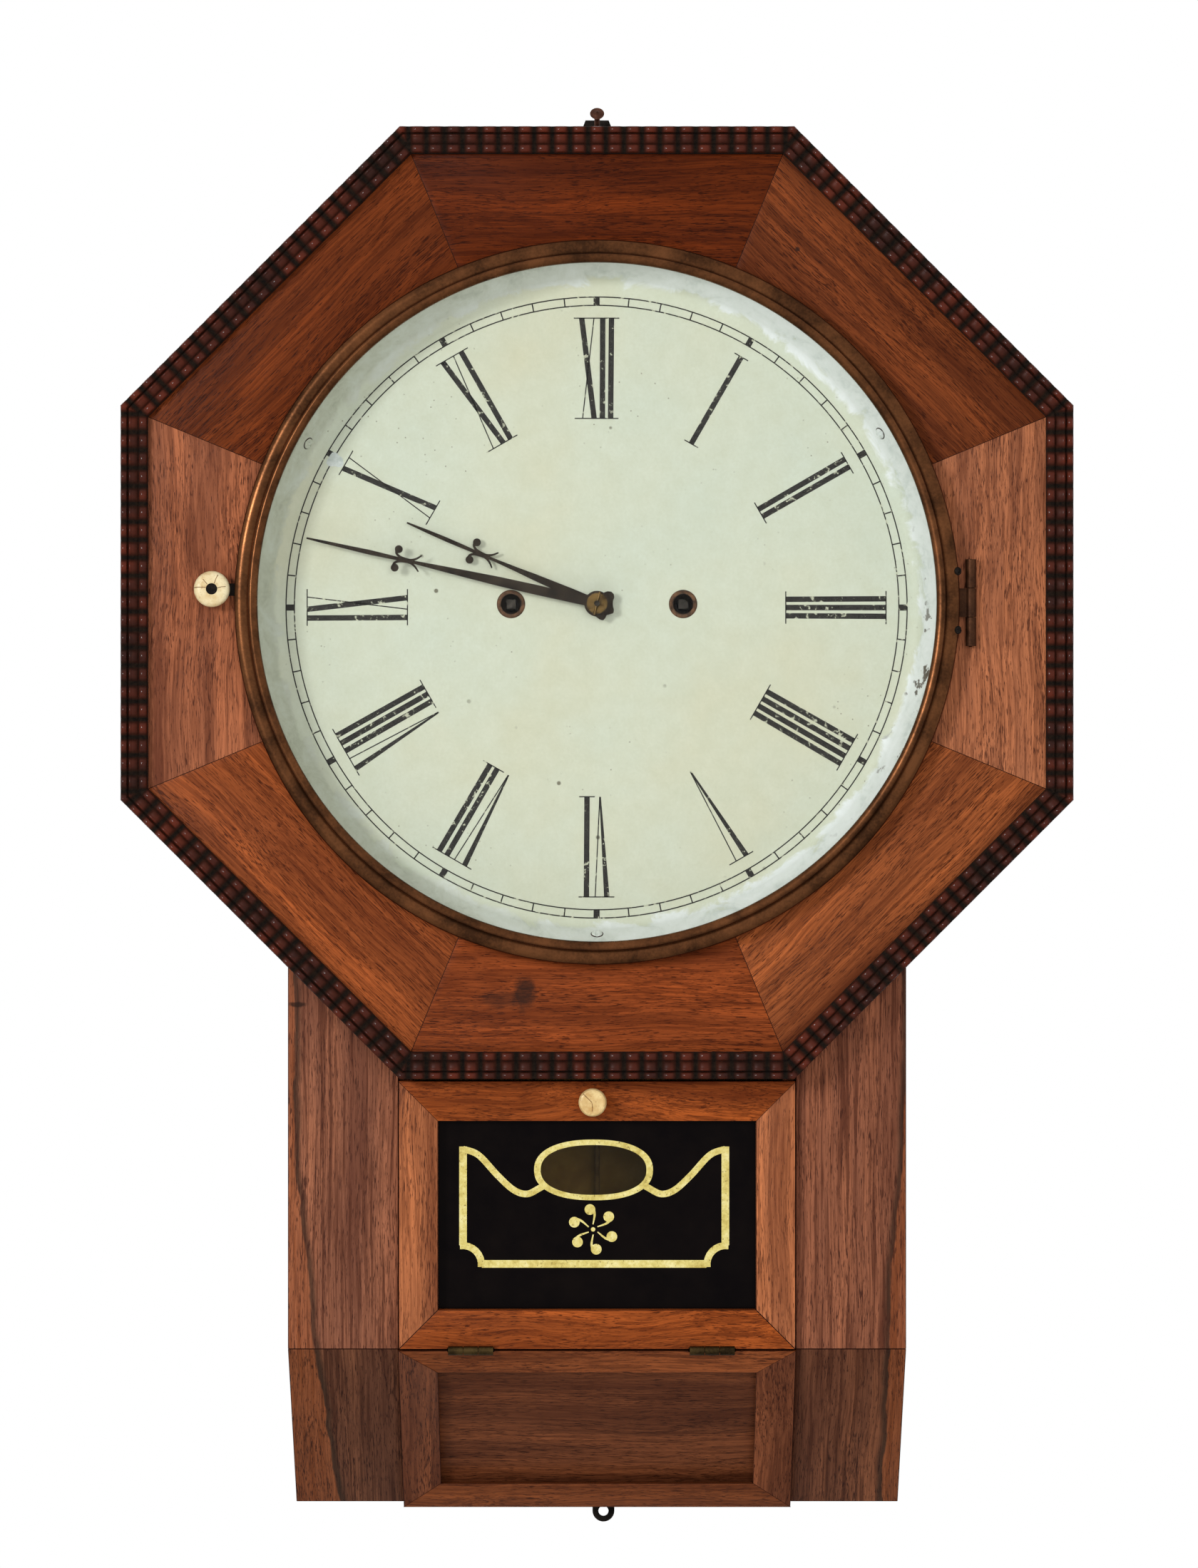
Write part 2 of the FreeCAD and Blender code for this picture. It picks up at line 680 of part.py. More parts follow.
def make_ripple_strip():
    """One strip at the top of the octagon, with waves across it and a hollow along it."""
    body = new_body("ripple_strip")
    inner = half_octagon - S.ripple_width
    base = S.ripple_height - S.ripple_swell
    pad(body, "XZ_Plane", [mitred_board(inner)], octagon_face, base)
    reach = half_octagon * HALF_SIDE
    pitch = reach * 2 / S.ripple_count
    trough = octagon_face + base
    wave = [(-reach, -trough), (pitch - reach, -trough, -S.ripple_swell)]
    crest = pad(body, "XY_Plane", [wave], inner, S.ripple_width)
    row = body.newObject("PartDesign::LinearPattern", "ripple_row")
    row.Originals = [crest]
    row.Direction = (crest.Profile[0], ["H_Axis"])
    row.Length = number(reach * 2 - pitch)
    bind(row, "Length", reach * 2 - pitch)
    row.Occurrences = int(number(S.ripple_count))
    body.Tip = row
    outside = [
        (reach, half_octagon), (inner * HALF_SIDE, inner),
        (reach * 2, inner), (reach * 2, half_octagon),
    ]
    mirrored = [(-x, z) for x, z in outside]
    front = octagon_face + S.ripple_height
    pocket(body, "XZ_Plane", [outside, mirrored], front, S.ripple_height)
    middle = half_octagon - S.ripple_width / 2
    edge = S.hollow_width / 2
    hollow = [
        (front + S.joint_gap, middle - edge), (front, middle - edge),
        (front, middle + edge, S.hollow_depth), (front + S.joint_gap, middle + edge),
    ]
    pocket(body, "YZ_Plane", [flip(hollow)], 0.0, reach * 4, both_ways=True)
    return body


def make_ripples():
    strip = make_ripple_strip()
    doc.recompute()
    copies = []
    for index in range(OCTAGON_SIDES):
        copy = strip.Shape.copy()
        copy.rotate(Vector(), BACK, index * 360 / OCTAGON_SIDES)
        copies.append(copy)
    return shaped("ripple_mouldings", Part.makeCompound(copies))


# Dial and bezel

def make_dial():
    rim_top = octagon_face - S.joint_gap
    flat = S.dial_flat_radius
    rise = rim_top - dial_face
    corners = [
        (dial_back, S.dial_hole), (dial_face, S.dial_hole), (dial_face, flat),
        (rim_top, flat + rise * rim_slope), (rim_top, flat + rise * rim_slope + rim_wall),
        (dial_back, flat + rim_wall - S.dial_sheet * rim_slope),
    ]
    body = turned("dial", corners)
    bore = S.grommet_bore + S.grommet_wall + S.seat_gap
    holes = [Ring(-S.winding_spread, 0.0, bore), Ring(S.winding_spread, 0.0, bore)]
    pocket(body, "XZ_Plane", holes, octagon_face, S.octagon_thick)
    return body


def make_grommets():
    tube = S.grommet_bore + S.grommet_wall
    corners = [
        (dial_back, S.grommet_bore), (dial_face + S.grommet_sheet, S.grommet_bore),
        (dial_face + S.grommet_sheet, S.grommet_flange - S.grommet_sheet),
        (dial_face + S.seat_gap, S.grommet_flange, S.grommet_sheet / 5),
        (dial_face + S.seat_gap, tube), (dial_back, tube),
    ]
    left = turned("grommet_left", corners, -S.winding_spread)
    right = turned("grommet_right", corners, S.winding_spread)
    return group("winding_grommets", [left, right])


glass_edge = S.bezel_sight + S.glass_lip
bezel_foot_depth = octagon_face + S.joint_gap
bead_root = bezel_foot_depth + S.bead_height - S.bead_width / 2
glass_front = bead_root - S.bead_width / 4


def make_bezel():
    """Two rolls of spun brass with a rebate behind for the glass."""
    foot_inner = S.bezel_radius - S.bezel_foot
    roll_top = bezel_foot_depth + S.roll_height
    bead_outer = S.bezel_sight + S.bead_width
    crest = S.bezel_sight + S.bead_width / 2
    quarter = S.bead_width * (1 - math.sqrt(0.5)) / 2
    corners = [
        (bezel_foot_depth, foot_inner), (bezel_foot_depth, S.bezel_radius),
        (roll_top, bead_outer + S.seat_gap, S.roll_bulge), (bead_root, bead_outer),
        (bead_root + S.bead_width / 2, crest, quarter), (bead_root, S.bezel_sight, quarter),
        (glass_front, S.bezel_sight), (glass_front, glass_edge + S.joint_gap),
        (glass_front - S.glass_thick * 2, glass_edge + S.joint_gap),
    ]
    return turned("bezel_ring", corners)


def make_glass():
    front = glass_front - S.seat_gap
    back = front - S.glass_thick
    corners = [(back, 0.0), (back, glass_edge), (front, glass_edge), (front, 0.0)]
    return turned("bezel_glass", corners)


def cylinder(radius, start, end, x=0.0, z=0.0):
    """Cylinder along the depth axis."""
    low = min(number(start), number(end))
    high = max(number(start), number(end))
    return Part.makeCylinder(number(radius), high - low, Vector(number(x), -high, number(z)), BACK)


def block(x0, x1, depth0, depth1, z0, z1):
    spans = [sorted((number(a), number(b))) for a, b in ((x0, x1), (-depth0, -depth1), (z0, z1))]
    corner = Vector(*[low for low, high in spans])
    return Part.makeBox(*[high - low for low, high in spans], corner)


def fuse(first, *others):
    return first.fuse(list(others)).removeSplitter()


bezel_pin_depth = octagon_face + S.bezel_barrel + S.joint_gap * 2
KNUCKLES = 3


def knuckle(index):
    """Bottom and top of one of the bezel hinge's knuckles."""
    length = number(S.bezel_barrel_length) / KNUCKLES
    gap = number(S.joint_gap) / 2
    low = index * length - number(S.bezel_barrel_length) / 2
    return low + gap, low + length - gap


def bezel_barrel(index, radius):
    low, high = knuckle(index)
    foot = Vector(number(S.bezel_hinge_offset), -number(bezel_pin_depth), low)
    return Part.makeCylinder(number(radius), high - low, foot, UP)


def make_bezel_hinge():
    """Case leaf set in a kerf with the outer knuckles; bezel leaf with the middle one and the pin."""
    left = S.bezel_hinge_offset - S.leaf_thick / 2
    right = S.bezel_hinge_offset + S.leaf_thick / 2
    leaf_foot = octagon_face - S.leaf_depth
    foot, top = knuckle(0)[0], knuckle(2)[1]
    pieces = [block(left, right, leaf_foot, octagon_face, foot, top)]
    for index in (0, 2):
        low, high = knuckle(index)
        pieces.append(block(left, right, leaf_foot, bezel_pin_depth, low, high))
        pieces.append(bezel_barrel(index, S.bezel_barrel))
    pin_foot = Vector(number(S.bezel_hinge_offset), -number(bezel_pin_depth), foot)
    bore = Part.makeCylinder(number(S.hinge_pin + S.run_gap), top - foot, pin_foot, UP)
    case_leaf = fuse(*pieces).cut(bore).removeSplitter()
    low, high = knuckle(1)
    plate = block(S.bezel_radius - S.bezel_foot, S.bezel_hinge_offset, bezel_pin_depth,
                  bezel_pin_depth + S.leaf_thick, low, high)
    ring = cylinder(S.bezel_radius + S.seat_gap, octagon_face, octagon_face * 2)
    pin = Part.makeCylinder(number(S.hinge_pin), top - foot, pin_foot, UP)
    bezel_leaf = fuse(bezel_barrel(1, S.bezel_barrel), plate.cut(ring), pin)
    return [shaped("bezel_hinge_case_leaf", case_leaf), shaped("bezel_hinge_leaf", bezel_leaf)]


catch_back = octagon_face + S.joint_gap
knob_back = catch_back + S.catch_thick + S.seat_gap


NECK_SHARE = 0.55
SHOULDER_SHARE = 0.65
SHOULDER_AT = 0.3
RIM_AT = 0.55
CROWN_SHARE = 0.45
CROWN_DIP = 0.03
RIM_SWELL = 0.1
BORE_AT = 0.7
WASHER_SHARE = 1.8


def knob_profile(back, radius, height, bore, bore_end):
    """Turned bone button: a neck, a rolled edge and a low dome."""
    front = back + height
    swell = radius * RIM_SWELL
    corners = [
        (back, bore), (back, radius * NECK_SHARE), (back + height * SHOULDER_AT, radius * SHOULDER_SHARE),
        (back + height * RIM_AT, radius, swell), (front, radius * CROWN_SHARE, swell),
    ]
    if bore_end is None:
        return corners + [(front - height * CROWN_DIP, bore)]
    return corners + [(front + height * CROWN_DIP, 0.0), (bore_end, 0.0), (bore_end, bore)]


def make_bezel_knob():
    x, z = -S.bezel_knob_across, S.bezel_knob_rise
    bore = S.bezel_spindle + S.seat_gap
    corners = knob_profile(knob_back, S.bezel_knob_radius, S.bezel_knob_height, bore, None)
    knob = turned("bezel_knob", corners, x, z)
    head = knob_back + S.bezel_knob_height
    tail = S.case_depth - S.octagon_thick / 4
    spindle = cylinder(S.bezel_spindle, tail, head, x, z)
    washer = cylinder(S.bezel_spindle * WASHER_SHARE, tail, S.case_depth - S.joint_gap, x, z)
    half = S.catch_width / 2
    finger = block(x, -S.bezel_sight, catch_back, catch_back + S.catch_thick, z - half, z + half)
    clear = cylinder(S.bezel_radius + S.joint_gap, S.case_depth, octagon_face * 2)
    heel = cylinder(half, catch_back, catch_back + S.catch_thick, x, z)
    catch = fuse(spindle, washer, finger.cut(clear), heel)
    return [knob, shaped("bezel_catch", catch)]


# Lower door

door_top = -half_octagon - S.door_gap_top
door_foot = S.door_gap - S.break_drop
door_back = stile_back + S.stop_thick + S.joint_gap
door_face = door_back + S.door_thick
door_half = half_doorway - S.joint_gap
door_pin_depth = door_face + S.door_barrel + S.joint_gap
door_knob_drop = -half_octagon - S.door_gap_top - S.door_rail / 2


def cut_leaf_bed(body, across, side):
    """Mortise for a hinge leaf in the edge of the door (side 1) or of the apron (side -1)."""
    half = S.door_hinge_length / 2 + S.joint_gap
    inner = S.door_leaf_thick + S.seat_gap * 2
    edge = -S.break_drop
    corners = box(across - half, across + half, edge, edge + side * inner)
    sketch = new_sketch(body, "XZ_Plane", door_pin_depth)
    draw(sketch, [corners])
    extrude(body, "Pocket", sketch, door_pin_depth - door_face + S.door_leaf_depth + S.joint_gap)


def make_door():
    widths = (S.door_rail, S.door_rail, S.door_rail)
    outlines = mitred_frame(-door_half, door_half, door_foot, door_top, *widths)
    sunk = S.door_rail - S.tablet_lap - S.joint_gap
    beds = mitred_frame(-door_half + sunk, door_half - sunk, door_foot + sunk, door_top - sunk, *widths)
    names = ("door_foot_rail", "door_stile_right", "door_top_rail", "door_stile_left")
    glass_top = S.tablet_set + S.tablet_thick + S.seat_gap
    members = []
    for name, outline, bed in zip(names, outlines, beds):
        body = slab(name, [outline], door_back, S.door_thick)
        pocket(body, "XZ_Plane", [bed], door_back + glass_top, glass_top)
        members.append(body)
    for sign, across in ((-1, S.door_hinge_left), (1, S.door_hinge_right)):
        cut_leaf_bed(members[0], sign * across, 1)
    hole = Ring(-S.door_knob_across, door_knob_drop, S.door_spindle + S.run_gap)
    pocket(members[2], "XZ_Plane", [hole], door_face, S.door_thick)
    return group("door_frame", members)


def make_tablet():
    edge = S.door_rail - S.tablet_lap
    outline = box(-door_half + edge, door_half - edge, door_foot + edge, door_top - edge)
    return slab("door_tablet", [outline], door_back + S.tablet_set, S.tablet_thick)


def make_door_hinges():
    """Two butt hinges; each door leaf carries the middle knuckle and the pin."""
    case_leaves = []
    door_leaves = []
    length = number(S.door_hinge_length)
    third = length / KNUCKLES
    gap = number(S.joint_gap) / 2
    axis = Vector(0, -number(door_pin_depth), -number(S.break_drop))
    inner = door_face - S.door_leaf_depth
    for across in (-number(S.door_hinge_left), number(S.door_hinge_right)):
        left = across - length / 2

        def barrel(first, last, radius):
            start = axis + Vector(left + first, 0, 0)
            return Part.makeCylinder(number(radius), last - first, start, SIDEWAYS)

        low = S.seat_gap - S.break_drop
        high = low + S.door_leaf_thick
        door_web = block(left + third + gap, left + 2 * third - gap, inner, door_pin_depth, low, high)
        door_plate = block(left, left + length, inner, door_face, low, high)
        middle = barrel(third + gap, 2 * third - gap, S.door_barrel)
        pin = barrel(0, length, S.hinge_pin)
        door_leaves.append(fuse(door_plate, door_web, middle, pin))
        top = -S.seat_gap - S.break_drop
        foot = top - S.door_leaf_thick
        case_leaf = block(left, left + length, inner, door_face, foot, top)
        for first, last in ((0, third - gap), (2 * third + gap, length)):
            web = block(left + first, left + last, inner, door_pin_depth, foot, top)
            case_leaf = case_leaf.fuse([web, barrel(first, last, S.door_barrel)])
        case_leaves.append(case_leaf.cut(barrel(0, length, S.hinge_pin + S.run_gap)).removeSplitter())
    return [
        shaped("door_hinge_case_leaves", Part.makeCompound(case_leaves)),
        shaped("door_hinge_leaves", Part.makeCompound(door_leaves)),
    ]


def make_door_knob():
    x, z = -S.door_knob_across, door_knob_drop
    back = door_face + S.joint_gap
    bore_end = back + S.door_knob_height * BORE_AT
    bore = S.door_spindle + S.seat_gap
    corners = knob_profile(back, S.door_knob_radius, S.door_knob_height, bore, bore_end)
    knob = turned("door_knob", corners, x, z)
    tongue_front = door_back - S.joint_gap * 2
    tongue_back = tongue_front - S.tongue_thick
    half = S.tongue_width / 2
    spindle = cylinder(S.door_spindle, tongue_back, bore_end - S.seat_gap, x, z)
    heel = cylinder(half, tongue_back, tongue_front, x, z)
    tongue = block(x, x - S.tongue_length, tongue_back, tongue_front, z - half, z + half)
    return [knob, shaped("door_latch", fuse(spindle, heel, tongue))]


# Hanger, nail, lower ear and paper

def make_hanger():
    half = S.hanger_width / 2
    foot = S.hanger_top - S.hanger_length
    outline = [
        (-half, foot), (half, foot), (half, S.hanger_top - S.hanger_corner_drop),
        (half - S.hanger_corner, S.hanger_top), (S.hanger_corner - half, S.hanger_top),
        (-half, S.hanger_top - S.hanger_corner_drop),
    ]
    hole = Ring(0.0, S.hanger_top - S.hanger_hole_drop, S.hanger_hole)
    return slab("hanger_plate", [outline, hole], S.joint_gap / 2, S.plate_thick)


def make_nail():
    """Round-headed nail that slopes down through the hanger into the wall."""
    wall_in = S.plate_thick * 2
    tail = S.nail_tail_radius
    head_back = S.nail_reach - S.nail_head_thick
    head_edge = head_back + S.nail_head_thick / 3
    corners = [
        (-S.nail_tail, 0.0), (tail * 2 - S.nail_tail, tail / 2), (tail * 3 - S.nail_tail, tail),
        (-wall_in, tail), (-wall_in, S.nail_radius), (head_back, S.nail_radius),
        (head_edge, S.nail_head_radius), (S.nail_reach, 0.0, S.nail_head_radius / 6),
    ]
    body = turned("hanging_nail", corners)
    hole = number(S.hanger_top - S.hanger_hole_drop)
    middle = -number((S.joint_gap + S.plate_thick) / 2)
    body.Placement = Placement(Vector(0, middle, hole), Rotation(SIDEWAYS, -number(S.nail_tilt)))
    return body


def make_ear():
    half = S.ear_width / 2
    foot = -foot_drop - S.ear_reach
    shoulder = foot + half
    left, right = S.ear_across - half, S.ear_across + half
    swell = S.ear_width * (1 - math.sqrt(0.5)) / 2
    outline = [
        (left, S.ear_hold - foot_drop), (left, shoulder), (S.ear_across, foot, -swell),
        (right, shoulder, -swell), (right, S.ear_hold - foot_drop),
    ]
    hole = Ring(S.ear_across, -foot_drop - S.ear_hole_drop, S.ear_hole)
    return slab("lower_ear", [outline, hole], S.joint_gap / 2, S.plate_thick)


def make_paper():
    half = S.paper_width / 2
    sheet = box(-half, half, -S.break_drop - S.paper_tail, -half_octagon)
    return slab("backing_paper", [sheet], S.back_thick, S.paper_thick)


# Wheels and pinions

TOOTH_AT_ROOT = 2.0
TOOTH_AT_TIP = 0.4
ADDENDUM = 0.9
DEDENDUM = 0.9
PIN_SHARE = 0.45
HUB_SHARE = 0.25
RIM_SHARE = 0.84
HUB_WINDOW = (0.45, -0.45)
RIM_WINDOW = (-0.8, -0.4, 0, 0.4, 0.8)
MAIN_ARMS = 5
TRAIN_ARMS = 4
RAKE_ROOT = 0.84
RAKE_NEAR = 0.3
RAKE_FAR = 0.75
RATCHET_ROOT = 0.8
RATCHET_RAKE = 0.15
CLICK_REACH = 1.35
SPRING_STEPS = 18


def polygon(points, start, thick):
    """Flat plate from (x, z) points, from one depth forward."""
    corners = [Vector(x, -start, z) for x, z in points]
    face = Part.Face(Part.makePolygon(corners + corners[:1]))
    return face.extrude(Vector(0, -thick, 0))


def polar(radius, angle, x=0.0, z=0.0):
    return x + radius * math.cos(angle), z + radius * math.sin(angle)


def toothed_wheel(teeth, module, x, z, start, bore, gap_angle, arms):
    """Spoked wheel with straight-sided teeth and a tooth gap at one angle."""
    teeth = int(number(teeth))
    module = number(module)
    pitch_radius = teeth * module / 2
    root_radius = pitch_radius - DEDENDUM * module
    tip_radius = pitch_radius + ADDENDUM * module
    pitch = 2 * math.pi / teeth
    root_half = TOOTH_AT_ROOT * module / 2 / root_radius
    tip_half = TOOTH_AT_TIP * module / 2 / tip_radius
    tooth = (
        (root_radius, -root_half), (tip_radius, -tip_half),
        (tip_radius, tip_half), (root_radius, root_half),
    )
    points = []
    for index in range(teeth):
        middle = gap_angle + (index + 0.5) * pitch
        points += [polar(radius, middle + offset, x, z) for radius, offset in tooth]
    wheel = polygon(points, number(start), number(S.wheel_sheet))
    hub = max(number(bore) * 2, pitch_radius * HUB_SHARE)
    rim = root_radius * RIM_SHARE
    for index in range(arms):
        middle = (index + 0.5) * 2 * math.pi / arms
        spread = math.pi / arms
        inside = [polar(hub, middle + spread * share, x, z) for share in HUB_WINDOW]
        outside = [polar(rim, middle + spread * share, x, z) for share in RIM_WINDOW]
        wheel = wheel.cut(polygon(inside + outside, number(start), number(S.wheel_sheet)))
    return wheel.cut(cylinder(bore, start, start + S.wheel_sheet, x, z))


def lantern(module, x, z, start, arbor):
    """Lantern pinion: pins between two end discs on an arbor."""
    pins = int(number(S.pinion_pins))
    pitch_radius = pins * number(module) / 2
    pin = PIN_SHARE * number(module)
    end = start + S.pinion_length
    disc = pitch_radius + pin * 2
    shapes = [
        cylinder(disc, start - S.shroud_thick, start, x, z),
        cylinder(disc, end, end + S.shroud_thick, x, z),
        cylinder(arbor, start, end, x, z),
    ]
    for index in range(pins):
        at = polar(pitch_radius, index * 2 * math.pi / pins, number(x), number(z))
        shapes.append(cylinder(pin, start, end, *at))
    return shapes


front_plate_depth = S.back_plate_depth + S.plate_sheet + S.plate_space
front_plate_face = front_plate_depth + S.plate_sheet
inside_back = S.back_plate_depth + S.plate_sheet
main_module = S.winding_spread * 2 / (S.main_teeth + S.pinion_pins)
third_rise = S.centre_module * (S.centre_teeth + S.pinion_pins) / 2
escape_rise = third_rise + S.third_module * (S.third_teeth + S.pinion_pins) / 2
motion_drop = S.motion_module * (S.motion_teeth + S.pinion_pins) / 2
hour_module = motion_drop * 2 / (S.hour_teeth + S.pinion_pins)
LEFT, RIGHT, HIGH, LOW = math.pi, 0.0, math.pi / 2, -math.pi / 2

centre_pinion = inside_back + S.shroud_thick * 1.5
main_wheel_depth = centre_pinion + (S.pinion_length - S.wheel_sheet) / 2
ratchet_depth = main_wheel_depth + S.wheel_sheet + S.wheel_gap
spring_depth = ratchet_depth + S.wheel_sheet + S.wheel_gap * 1.5
third_pinion = front_plate_depth - S.pinion_length - S.shroud_thick * 2.5
centre_wheel_depth = third_pinion + (S.pinion_length - S.wheel_sheet) / 2
escape_pinion = inside_back + S.plate_space / 3
third_wheel_depth = escape_pinion + (S.pinion_length - S.wheel_sheet) / 2
escape_wheel_depth = escape_pinion + S.pinion_length + S.shroud_thick * 3
cannon_pinion = front_plate_face + S.shroud_thick * 2.5
motion_wheel_depth = cannon_pinion + (S.pinion_length - S.wheel_sheet) / 2
motion_pinion = cannon_pinion + S.pinion_length + S.shroud_thick * 2.5
hour_wheel_depth = motion_pinion + (S.pinion_length - S.wheel_sheet) / 2

hour_hand_depth = dial_face + S.hand_gap
minute_hand_depth = hour_hand_depth + S.hand_thick + S.hand_gap
collet_depth = minute_hand_depth + S.hand_thick
taper_pin_depth = collet_depth + S.collet_thick + S.taper_pin + S.seat_gap
arbor_end = taper_pin_depth + S.taper_pin * 3
pipe_bore = S.minute_arbor + S.run_gap
pipe_radius = pipe_bore + S.pipe_wall


def pivoted(radius, start, end, x, z):
    """Arbor between the plates, with a pivot in each of them."""
    long_pivot = cylinder(S.pivot, S.back_plate_depth, front_plate_face, x, z)
    gap = S.run_gap * 2
    return [long_pivot, cylinder(radius, start + gap, end - gap, x, z)]


def pillar_places():
    across = S.plate_width / 2 - S.pillar_inset
    heights = (S.plate_top - S.pillar_inset, S.pillar_inset - S.plate_foot)
    return [(x, z) for x in (-across, across) for z in heights]


def make_plate(name, start, centre_hole, main_hole, extras):
    half = S.plate_width / 2
    gap = S.run_gap
    holes = [
        Ring(0.0, 0.0, centre_hole + gap), Ring(0.0, third_rise, S.pivot + gap),
        Ring(0.0, escape_rise, S.pivot + gap), Ring(0.0, S.verge_rise, S.pivot + gap),
        Ring(-S.winding_spread, 0.0, main_hole + gap), Ring(S.winding_spread, 0.0, main_hole + gap),
    ]
    holes += [Ring(x, z, S.pillar_pin + S.seat_gap) for x, z in pillar_places()]
    outline = box(-half, half, -S.plate_foot, S.plate_top)
    return slab(name, [outline] + holes + extras, start, S.plate_sheet)


def make_plates():
    back = make_plate("movement_back_plate", S.back_plate_depth, S.pivot, S.pivot * 2, [])
    stud_hole = Ring(0.0, -motion_drop, S.arbor)
    front = make_plate("front_plate_sheet", front_plate_depth, S.minute_arbor, S.main_arbor, [stud_hole])
    return [back, group("movement_front_plate", [front, make_motion_stud()])]


def make_pillars():
    corners = [
        (S.back_plate_depth, 0.0), (S.back_plate_depth, S.pillar_pin), (inside_back, S.pillar_pin),
        (inside_back, S.pillar_radius), (front_plate_depth, S.pillar_radius),
        (front_plate_depth, S.pillar_pin), (front_plate_face, S.pillar_pin), (front_plate_face, 0.0),
    ]
    members = [turned(f"pillar_{i}", corners, x, z) for i, (x, z) in enumerate(pillar_places(), start=1)]
    return group("movement_pillars", members)


def make_blocks():
    """Wooden blocks that carry the movement on the backboard."""
    edge = S.plate_width / 2 - S.pillar_inset * 2
    middle = (S.plate_top - S.plate_foot) / 2
    low, high = middle - S.block_height / 2, middle + S.block_height / 2
    depth = S.back_plate_depth - S.back_thick
    members = [
        slab(name, [box(left, left + S.block_width, low, high)], S.back_thick, depth)
        for name, left in (("block_left", -edge), ("block_right", edge - S.block_width))
    ]
    return group("movement_blocks", members)


def make_mainsprings():
    """Open spiral springs, one round each winding arbor."""
    turns = number(S.spring_turns)
    inner = number(S.main_arbor + S.joint_gap + S.spring_thick)
    outer = number(S.spring_radius)
    count = int(SPRING_STEPS * turns)
    springs = []
    for side in (-1, 1):
        x = side * number(S.winding_spread)
        centre_line = []
        for index in range(count + 1):
            share = index / count
            centre_line.append((inner + (outer - inner) * share, side * share * turns * 2 * math.pi))
        half = number(S.spring_thick) / 2
        outside = [polar(radius + half, angle, x) for radius, angle in centre_line]
        inside = [polar(radius - half, angle, x) for radius, angle in reversed(centre_line)]
        springs.append(polygon(outside + inside, number(spring_depth), number(S.spring_width)))
    return shaped("mainsprings", Part.makeCompound(springs))


def make_main_wheel(name, x, gap_angle):
    """Great wheel with its click, lifted clear of the ratchet."""
    wheel = toothed_wheel(S.main_teeth, main_module, number(x), 0.0, main_wheel_depth,
                          S.main_arbor + S.run_gap, gap_angle, MAIN_ARMS)
    reach = number(S.ratchet_radius)
    half = number(S.catch_width) / 4
    tip = number(x) + reach + number(S.joint_gap) * 3
    tail = number(x) + reach * CLICK_REACH
    outline = [(tip, half), (tail, -half), (tail + half, half), (tail, half * 3)]
    click = polygon(outline, number(ratchet_depth), number(S.wheel_sheet))
    screw = cylinder(half / 2, main_wheel_depth, ratchet_depth + S.wheel_sheet, tail, half)
    return shaped(name, fuse(wheel, click, screw))


def make_winding_arbor(name, x):
    """Arbor with its ratchet wheel and, in front, the square for the key."""
    at = number(x)
    teeth = int(number(S.ratchet_teeth))
    points = []
    for index in range(teeth):
        pitch = 2 * math.pi / teeth
        tip = number(S.ratchet_radius)
        points.append(polar(tip, index * pitch, at))
        points.append(polar(tip * RATCHET_ROOT, (index + RATCHET_RAKE) * pitch, at))
    ratchet = polygon(points, number(ratchet_depth), number(S.wheel_sheet))
    gap = S.run_gap * 2
    body = cylinder(S.main_arbor, inside_back + gap, front_plate_face + gap, x)
    pivot = cylinder(S.pivot * 2, S.back_plate_depth, inside_back + gap, x)
    half = S.winding_square / 2
    square = block(x - half, x + half, front_plate_face, dial_back, -half, half)
    return shaped(name, fuse(body, pivot, square, ratchet))


def make_centre_arbor():
    """Centre arbor: lantern pinion, centre wheel, cannon pinion and the seat of the minute hand."""
    wheel = toothed_wheel(S.centre_teeth, S.centre_module, 0.0, 0.0, centre_wheel_depth,
                          S.arbor / 2, HIGH, TRAIN_ARMS)
    shapes = lantern(main_module, 0.0, 0.0, centre_pinion, S.arbor)
    shapes += lantern(S.motion_module, 0.0, 0.0, cannon_pinion, S.minute_arbor)
    gap = S.run_gap * 2
    shapes += [
        cylinder(S.pivot, S.back_plate_depth, inside_back + gap),
        cylinder(S.arbor, inside_back + gap, front_plate_depth),
        cylinder(S.minute_arbor, front_plate_depth - gap, minute_hand_depth - S.seat_gap),
        cylinder(S.minute_end, minute_hand_depth - S.seat_gap, arbor_end),
    ]
    pin_room = taper_pin(S.taper_pin + S.seat_gap)
    return shaped("centre_arbor", fuse(wheel, *shapes).cut(pin_room).removeSplitter())


def make_third_wheel():
    z = number(third_rise)
    wheel = toothed_wheel(S.third_teeth, S.third_module, 0.0, z, third_wheel_depth,
                          S.pivot / 2, HIGH, TRAIN_ARMS)
    shapes = lantern(S.centre_module, 0.0, z, third_pinion, S.pivot)
    shapes += pivoted(S.arbor, inside_back, third_pinion, 0.0, z)
    return shaped("third_wheel", fuse(wheel, *shapes))


def make_escape_wheel():
    """Escape wheel with raked teeth on its pinion."""
    z = number(escape_rise)
    teeth = int(number(S.escape_teeth))
    tip = number(S.escape_radius)
    pitch = 2 * math.pi / teeth
    points = []
    for index in range(teeth):
        points.append(polar(tip, index * pitch, 0.0, z))
        for share in (RAKE_NEAR, RAKE_FAR):
            points.append(polar(tip * RAKE_ROOT, (index + share) * pitch, 0.0, z))
    wheel = polygon(points, number(escape_wheel_depth), number(S.wheel_sheet))
    shapes = lantern(S.third_module, 0.0, z, escape_pinion, S.pivot)
    shapes += pivoted(S.arbor, escape_pinion + S.pinion_length, front_plate_depth, 0.0, z)
    return shaped("escape_wheel", fuse(wheel, *shapes))


